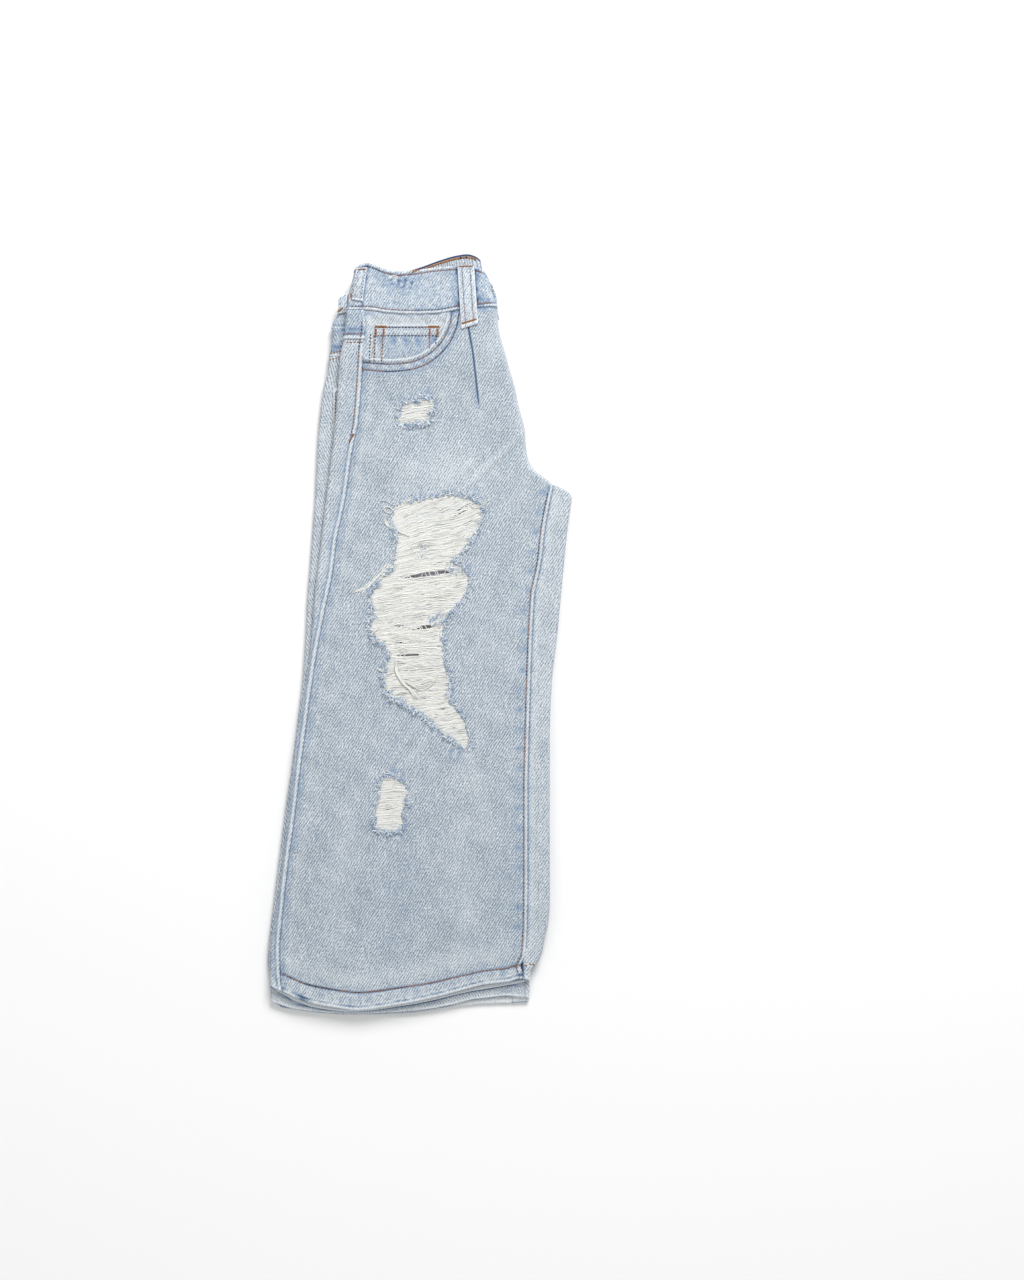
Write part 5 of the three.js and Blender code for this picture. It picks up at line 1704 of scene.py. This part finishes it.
weft_yarn = thread_material("weft yarn", colour(238, 237, 231), colour(216, 215, 208),
                            colour(128, 160, 198), (500, 1400, 900), 0.0002)
torn_yarn = thread_material("torn yarn", colour(250, 250, 246), colour(226, 230, 232),
                            colour(112, 148, 184), (500, 1400, 900), 0.0001)
sewing_thread = thread_material("sewing thread", colour(180, 120, 58), colour(128, 88, 52),
                                colour(50, 48, 56), (1800, 1800, 1800), 0.0001)


def metal_material():
    made, tree, surface = plain_material("antique metal", 0.42, 0.5, 1.0)
    place = new_node(tree, "ShaderNodeTexCoord").outputs["Object"]
    marks = noise(tree, place, 900, 4, 0.6)
    base = mixed(tree, marks, colour(96, 90, 82), colour(186, 178, 164))
    rough = math_node(tree, "MULTIPLY_ADD", marks, 0.4, 0.22)
    coat(tree, surface, base, marks, 0.4, 0.0001)
    tree.links.new(rough, surface.inputs["Roughness"])
    return made


button_metal = metal_material()
for piece in shells.values():
    inside = piece.name == "cloth_hidden_layers"
    piece.data.materials.append(denim_inside if inside else denim)

# %% Growing the threads
def thread_piece(name, parts, sides=5, yarn=weft_yarn):
    lines, radii, tones = (sum(group, []) for group in zip(*parts))
    source = line_mesh(name + "_lines", lines, radii, tones)
    return grown(name, source, threads, yarn, Thickness=1.0, Sides=sides)


for k, (name, outline) in enumerate(torn_rips.items()):
    upper = weft_lines(outline, 0.74, 0.75, 0.55, 200 + 20 * k, 0.45)
    lower = weft_lines(outline, 0.85, 1.2, 0.7, 207 + 20 * k, 0.52)
    thread_piece(f"weft_{name}", [upper, lower])

tufts = [tuft_lines(outline, 300 + k, 3.4) for k, outline in enumerate(torn_rips.values())]
for k, (x0, y0, wide, high, lean) in enumerate(ISLANDS):
    turn = np.linspace(0, 2 * math.pi, 40, endpoint=False)
    ring = pairs(x0 + wide * 0.9 * np.cos(turn), y0 + high * 0.9 * np.sin(turn))
    tufts.append(tuft_lines(ring, 320 + k, 2.0, (1.2, 2.8)))
fibres = thread_piece("torn_fibres", tufts, sides=4, yarn=torn_yarn)
loose = [drawn_thread(points, *rest) for points, *rest in LOOSE]
loose_threads = thread_piece("loose_threads", [[[piece[k]] for k in range(3)] for piece in loose])

# %% [markdown]
# ## Stitching
# Jeans are sewn with thick thread about three millimetres a stitch, in single and twin rows,
# and tacked with dense zigzag bars at every point of strain. The rows follow lines drawn on
# the cloth. Each stitch's place and tilt is found by dropping a ray on the finished cloth, so
# it sits in the dip it made, and one node tree puts a small capsule there.

# %% The stitch tree
def stitch_tree():
    """Points of a mesh become stitches with the points' own size and direction."""
    tree, start, end = socketed_tree(
        "stitches", "GeometryNodeTree",
        [("Points", "NodeSocketGeometry", None), ("Thickness", "NodeSocketFloat", 1.0),
         ("Material", "NodeSocketMaterial", None)],
        [("Geometry", "NodeSocketGeometry")],
    )

    def vector(name):
        return new_node(tree, "GeometryNodeInputNamedAttribute", {"Name": name},
                        data_type="FLOAT_VECTOR").outputs[0]

    first = new_node(tree, "FunctionNodeAlignRotationToVector", {"Vector": vector("along")},
                     axis="X")
    turned = new_node(tree, "FunctionNodeAlignRotationToVector",
                      {"Rotation": first.outputs[0], "Vector": vector("up")},
                      axis="Z", pivot_axis="X")
    ball = new_node(tree, "GeometryNodeMeshUVSphere", {"Segments": 7, "Rings": 5, "Radius": 0.5})
    size = new_node(tree, "ShaderNodeVectorMath", {0: vector("size"), 3: start["Thickness"]},
                    operation="SCALE").outputs[0]
    dots = new_node(tree, "GeometryNodeMeshToPoints", {"Mesh": start["Points"]})
    copies = new_node(tree, "GeometryNodeInstanceOnPoints",
                      {"Points": dots.outputs[0], "Instance": ball.outputs[0],
                       "Rotation": turned.outputs[0], "Scale": size})
    real = new_node(tree, "GeometryNodeRealizeInstances", {0: copies.outputs[0]})
    soft = new_node(tree, "GeometryNodeSetShadeSmooth", {0: real.outputs[0]})
    done = new_node(tree, "GeometryNodeSetMaterial",
                    {"Geometry": soft.outputs[0], "Material": start["Material"]})
    tree.links.new(done.outputs[0], end.inputs[0])
    return tree


# %% Dropping stitches on the cloth
def cloth_tree():
    """All the cloth as one search tree, in metres."""
    points, faces, start = [], [], 0
    for piece in shells.values():
        mesh = piece.data
        co = np.zeros(len(mesh.vertices) * 3, np.float32)
        mesh.vertices.foreach_get("co", co)
        points += co.reshape(-1, 3).tolist()
        faces += [[start + k for k in face.vertices] for face in mesh.polygons]
        start = len(points)
    return BVHTree.FromPolygons(points, faces)


on_cloth = cloth_tree()
stitches = {1: [], -1: []}
ABOVE, BELOW = 60.0, -40.0   # heights from which the rays are sent
STEEP = 0.35                 # cloth whose normal is flatter than this takes no stitch


def stitch(up, x, y, dx, dy, size, tone):
    """One stitch of size (length, width, height) at a place on the upper or lower face."""
    start = Vector(in_frame(x, y, ABOVE if up > 0 else BELOW) / 1000)
    place, normal = on_cloth.ray_cast(start, Vector((0, 0, -up)))[:2]
    if place is None:
        return
    if normal.z * up < 0:
        normal = -normal
    if abs(normal.z) < STEEP:
        return
    along = Vector((dx, dy, -(normal.x * dx + normal.y * dy) / normal.z)).normalized()
    stitches[up].append((place, along, normal, size, tone))


# %% Rows and bars of stitches
def sew(up, line, seed, pitch=2.9, length=2.2, width=1.4, rust=0.5, under=()):
    """A row of stitches; rust is the share that is still orange, under the x ranges hidden."""
    rng = np.random.default_rng(seed)
    path = resampled(np.array(line, float), pitch)
    middles, steps = (path[:-1] + path[1:]) / 2, np.diff(path, axis=0)
    run = np.cumsum(rng.normal(0, 0.5, len(middles)))
    for k, ((x, y), (dx, dy)) in enumerate(zip(middles, steps)):
        if any(low < x < high for low, high in under):
            continue
        # Runs of stitches take the dark tone: indigo caught in the thread, and painted shade where
        # the stitches sink into the cloth.
        faded = 0.5 + 0.5 * math.sin(run[k]) < rust
        tone = rng.uniform(0, 0.3) if faded else rng.uniform(0.55, 1.0)
        stitch(up, x, y, dx, dy, (length, width, 0.85), tone)


def bar_tack(up, x0, y0, x1, y1, width=2.0, seed=0, tone=0.12):
    """A bar of close cross stitches from one point to another."""
    rng = np.random.default_rng(seed + 900)
    length = math.hypot(x1 - x0, y1 - y0)
    dx, dy = (x1 - x0) / length, (y1 - y0) / length
    for t in np.arange(0.2, length, 0.48):
        lean = rng.normal(0, 0.12)
        stitch(up, x0 + dx * t, y0 + dy * t, -dy + lean * dx, dx + lean * dy,
               (width * rng.uniform(0.85, 1.1), 0.62, 0.75), rng.uniform(0, 2 * tone))


def offset_line(line, distance):
    return beside(np.array(line, float), [distance], 2.0)[0]


# %% The rows of one half
def sewing(half):
    """All rows of one half's outer face, one after another from the hem to the waistband."""
    up = half.up
    x = np.arange(-119.0, 96.0, 2.0)
    sew(up, pairs(x, half.hem_front(x) + hem_row(x)), 1, width=1.6, rust=0.8)
    x = np.arange(96.0, 106.0, 2.0)
    sew(up, pairs(x, half.hem_front(x) + 13.5), 2, width=1.6, rust=0.8)
    y = np.arange(174, float(half.waist_seam(-46)) - 9, 2.0)
    sew(up, pairs(half.side(y) - 3.6, y), 3, rust=0.35)
    y = np.arange(half.hem + 16.0, 126.0, 2.0)
    sew(up, pairs(half.inseam(y) - 3.4, y), 4, rust=0.45)
    scoop = scoop_line(half)
    sew(up, offset_line(scoop, 4.2), 5, rust=0.5)
    sew(up, offset_line(scoop, 10.4), 6, rust=0.45)
    seam_x = np.arange(half.fold(280) + 4, 66.0, 2.0)
    seam = half.waist_seam(seam_x)
    loops = ((36, 51.5),) if up > 0 else ((30, 46),)
    sew(up, pairs(seam_x, seam + 3.1), 7, rust=0.3, under=loops)
    band_x = np.arange(float(half.fold(300)) + 6, 57.0, 2.0)
    loops = ((33, 49.5), (-55, -44)) if up > 0 else ((29, 45),)
    sew(up, pairs(band_x, half.band_front(band_x) - 2.9), 8, rust=0.3, under=loops)
    yoke_y = half.yoke_seam - SEAM_GAP
    for rise, seed in ((4.2, 9), (-3.0, 10)):
        ends = np.array([[half.fold(yoke_y) + 2, yoke_y + rise],
                         [half.side(yoke_y) - 0.8, yoke_y + rise + 0.3]])
        sew(up, ends, seed, rust=0.5)
    tack = np.array([-57.2, 176.3, -61.1, 168.4]) + np.tile(half.shift, 2)
    bar_tack(up, *tack, 1.8, 1, 0.35)


LOOP_STITCH = {"pitch": 2.6, "length": 2.0, "width": 0.7}


def loop_sewing(up, corners, seed):
    tl, tr, br, bl = (np.array(c, float) for c in corners)
    for s in (0.25, 0.75):
        top, low = lerp(tl, tr, s), lerp(bl, br, s)
        row = [lerp(top, low, 0.03), lerp(top, low, 0.93)]
        sew(up, row, seed, rust=0.45, **LOOP_STITCH)
    bar_tack(up, *lerp(tl, tr, 0.06), *lerp(tl, tr, 0.94), 2.0, seed)
    left, right = lerp(tl, bl, 0.925), lerp(tr, br, 0.925)
    bar_tack(up, *lerp(left, right, 0.04), *lerp(left, right, 0.96), 2.8, seed)


for half in (RIGHT, LEFT):
    sewing(half)
loop_sewing(1, RIGHT_LOOP, 20)
loop_sewing(-1, LEFT_LOOP, 22)
print("stitches so far:", len(stitches[1]), "above,", len(stitches[-1]), "below")

# %% Rows on the pockets, the side loop and the far waistband
for seed, rust, *ends in (
        (30, 0.5, (-35.6, 269), (16, 269)), (31, 0.5, (-40, 261.7), (16.5, 261.7)),
        (32, 0.55, (-37.8, 268), (-39.2, 236)), (33, 0.55, (-31.4, 261), (-32.6, 236)),
        (34, 0.0, (-42.2, 264), (-43.2, 238)), (35, 0.5, (15.8, 268), (14.8, 254)),
        (36, 0.3, (9.0, 261), (9.4, 250))):
    sew(1, ends, seed, rust=rust)
bar_tack(1, -38.4, 269.6, -28.6, 269.4, 3.2, 1)
bar_tack(1, 8.4, 269.4, 18.2, 269.4, 3.2, 2)
for x in (-37.4, -30.6, 9.6, 16.6):
    bar_tack(1, x, 267.8, x - 0.3, 260.8, 2.0, 3)
sew(1, [(-53.2, 318), (-58.0, 295)], 37, rust=0.6, **LOOP_STITCH)
sew(1, [(-46.6, 318), (-49.9, 294)], 38, rust=0.1, **LOOP_STITCH)
for bar in ((-53.0, 319.2, -46.0, 319.6, 1.5, 4), (-59.2, 298.6, -58.6, 292.4, 1.6, 5),
            (-73.6, 281.8, -66.6, 286.8, 2.2, 6)):
    bar_tack(1, *bar)
far_x = np.arange(-6.0, 52.0, 2.0)
far_row = pairs(far_x, RIGHT.band_back(far_x) - 2.6)
sew(1, far_row, 39, pitch=2.6, length=2.9, width=2.3, rust=0.92)
for low, high in (((-78.8, 247), (-67.7, 249.6)), ((-79.3, 241.4), (-68.5, 244.6))):
    sew(1, [low, high], 40, rust=0.5)
sew(1, [(-73.2, 214), (-73.9, 186)], 41, rust=0.4)
fly = np.array([[40.5, 270], [40.2, 240], [43.5, 215], [54, 200], [70, 196]]) + LEFT_SHIFT
for reach in (0, -6.4):
    sew(-1, offset_line(path_through(fly, 2.0), reach), 42, rust=0.6)


def stitch_piece(name, placed_stitches):
    """The stitches of one face as a plain mesh."""
    mesh = bpy.data.meshes.new(name + "_points")
    mesh.from_pydata([tuple(s[0]) for s in placed_stitches], [], [])
    give(mesh, "along", [s[1] for s in placed_stitches])
    give(mesh, "up", [s[2] for s in placed_stitches])
    give(mesh, "size", [[c / 1000 for c in s[3]] for s in placed_stitches])
    give(mesh, "tone", [s[4] for s in placed_stitches])
    return grown(name, in_scene(name + "_points", mesh), stitching, sewing_thread, Thickness=1.0)


stitching = stitch_tree()
upper_stitches = stitch_piece("stitches_above", stitches[1])
lower_stitches = stitch_piece("stitches_below", stitches[-1])

# %% [markdown]
# ## Button
# A jeans button is a pressed metal cap with a rolled rim and a sunk middle. It lies on the lower
# waistband, facing the floor. A turned profile gives it in one step, plain, with no pressed
# decoration and no lettering.

# %% Turning the button
def turned(name, centre, profile, sides=72):
    """A closed solid of revolution facing down; profile is (radius, depth) from the middle."""
    points = [(0.0, 0.0, profile[0][1])]
    turn = np.linspace(0, 2 * math.pi, sides, endpoint=False)
    for radius, depth in profile[1:-1]:
        points += np.stack([radius * np.cos(turn), radius * np.sin(turn),
                            np.full(sides, depth)], 1).tolist()
    points.append((0.0, 0.0, profile[-1][1]))
    rings = len(profile) - 2
    ring = np.arange(sides)
    after = (ring + 1) % sides
    fans = [np.stack([np.zeros(sides, int), 1 + after, 1 + ring], 1),
            np.stack([np.full(sides, len(points) - 1), 1 + (rings - 1) * sides + ring,
                      1 + (rings - 1) * sides + after], 1)]
    world = np.array(points) + centre
    return new_mesh(name, world, [*fans, 1 + tube_faces(rings, sides)], sharp=40)


BUTTON = [(0, 0.75), (2.2, 0.72), (3.2, 0.62), (3.7, 0.28), (4.3, 0.1), (5.0, 0.12),
          (5.6, 0.4), (5.95, 0.85), (5.7, 1.25), (4.6, 1.5), (0, 1.5)]
button = turned("button_cap", in_frame(54, 290, 0.35), BUTTON)
button.data.materials.append(button_metal)
print("button:", len(button.data.polygons), "faces")

# %% [markdown]
# ## Floor, light and camera
# The jeans lie on a plain white table and are seen from straight above, under a large soft
# lamp at the upper right with plenty of fill, so that only a faint shadow shows at the lower
# left and the relief of the cloth is drawn by gentle shading.

# %% The stage
FLOOR_SIDE, FLOOR_DROP = 4000.0, 0.3   # half its width, and how far it lies under the jeans


def floor():
    corners = np.array([(-1, -1), (1, -1), (1, 1), (-1, 1)]) * FLOOR_SIDE
    corners = np.column_stack([corners, np.full(4, -FLOOR_DROP)])
    made = new_mesh("floor", corners, [np.array([[0, 1, 2, 3]])])
    paper, _, surface = plain_material("white table", 0.95, 0.1)
    surface.inputs["Base Color"].default_value = (0.88, 0.88, 0.88, 1)
    made.data.materials.append(paper)
    made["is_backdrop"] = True


def lamp(name, place, aim, size, watts):
    data = bpy.data.lights.new(name, "AREA")
    data.shape, data.size, data.energy = "DISK", size, watts
    made = in_scene(name, data)
    made.location = place
    made.rotation_euler = (Vector(aim) - Vector(place)).to_track_quat("-Z", "Y").to_euler()


floor()
lamp("key", (0.7, 2.1, 1.9), (0.05, 0, 0), 1.4, 88)
lamp("fill", (-1.4, -1.3, 2.4), (0, 0, 0), 2.2, 13)
lamp("front", (0.2, -2.2, 0.7), (0, -0.3, 0), 1.2, 5)
sky = bpy.data.worlds.new("studio")
sky.use_nodes = True
background = sky.node_tree.nodes["Background"]
background.inputs["Color"].default_value = (1, 1, 1, 1)
background.inputs["Strength"].default_value = 0.46
bpy.context.scene.world = sky
bpy.context.scene.view_settings.view_transform = "Standard"

JEANS_HEIGHT = 0.014
CAMERA_HEIGHT = 2.0     # above the jeans
VIEW_CENTRE = (0.0815, -0.0030)
lens = bpy.data.cameras.new("camera")
lens.lens, lens.sensor_width = 64.29, 36.0
camera = in_scene("camera", lens)
camera.location = (*VIEW_CENTRE, JEANS_HEIGHT + CAMERA_HEIGHT)
bpy.context.scene.camera = camera

# %% [markdown]
# ## Attaching the pieces
# Every piece rides on the one body, and the CAD solids that it stands for are hidden. The size of
# each cloth piece's cut when flat is printed: the widths are measured along the cloth, round the
# folds.

# %% Which piece stands for which solid
STANDS_FOR = {name: (name.replace("cloth_", ""),) for name in shells if "island" not in name}
for side in ("right", "left"):
    STANDS_FOR[f"cloth_{side}_front"] = (f"{side}_front_panel",)
    STANDS_FOR[f"cloth_{side}_back"] = (f"{side}_back_panel",)
    STANDS_FOR[f"cloth_{side}_facing"] = (f"{side}_pocket_facing",)
for name in torn_rips:
    STANDS_FOR[f"weft_{name}"] = (f"{name}_threads",)
STANDS_FOR["button_cap"] = ("fly_button",)
print(len(STANDS_FOR), "pieces stand for a solid of the CAD")
finished = [o for o in bpy.context.scene.objects if o.type == "MESH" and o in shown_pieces()]
for piece in finished:
    if piece.name.startswith(("cloth_", "weft_", "torn_", "loose_", "stitches_", "button_")):
        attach(piece, "root")
        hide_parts(*STANDS_FOR.get(piece.name, ()))


# %% Flat sizes of the cloth
SEAM_JUMP = 0.1       # a face wider than this spans two separate runs of columns, in metres
COLUMN_JUMP = 0.02    # so does a gap wider than this
NARROWEST = 0.0102    # no cut is narrower than this, with what is turned under


def cut_of(piece):
    """Width, length and area of a piece's cut, in metres, from its flat coordinates."""
    mesh = piece.data
    flat = np.zeros(len(mesh.loops) * 2)
    mesh.uv_layers["cloth"].data.foreach_get("uv", flat)
    flat = flat.reshape(-1, 2)
    area = 0.0
    for face in mesh.polygons:
        u, v = flat[face.loop_start: face.loop_start + face.loop_total].T
        if np.ptp(u) < SEAM_JUMP:
            area += abs(np.dot(u, np.roll(v, -1)) - np.dot(v, np.roll(u, -1))) / 4
    gaps = np.diff(np.unique(np.round(flat[:, 0], 4)))
    width = max(gaps[gaps < COLUMN_JUMP].sum(), NARROWEST)
    return width, np.ptp(flat[:, 1]), area


ISLAND_PIECES = [piece for name, piece in shells.items() if "island" in name]
for name, piece in shells.items():
    if piece in ISLAND_PIECES:
        continue
    wide, long, area = cut_of(piece)
    print(f"{name}: cut {wide:.3f} by {long:.3f} m, {area:.4f} square metres")
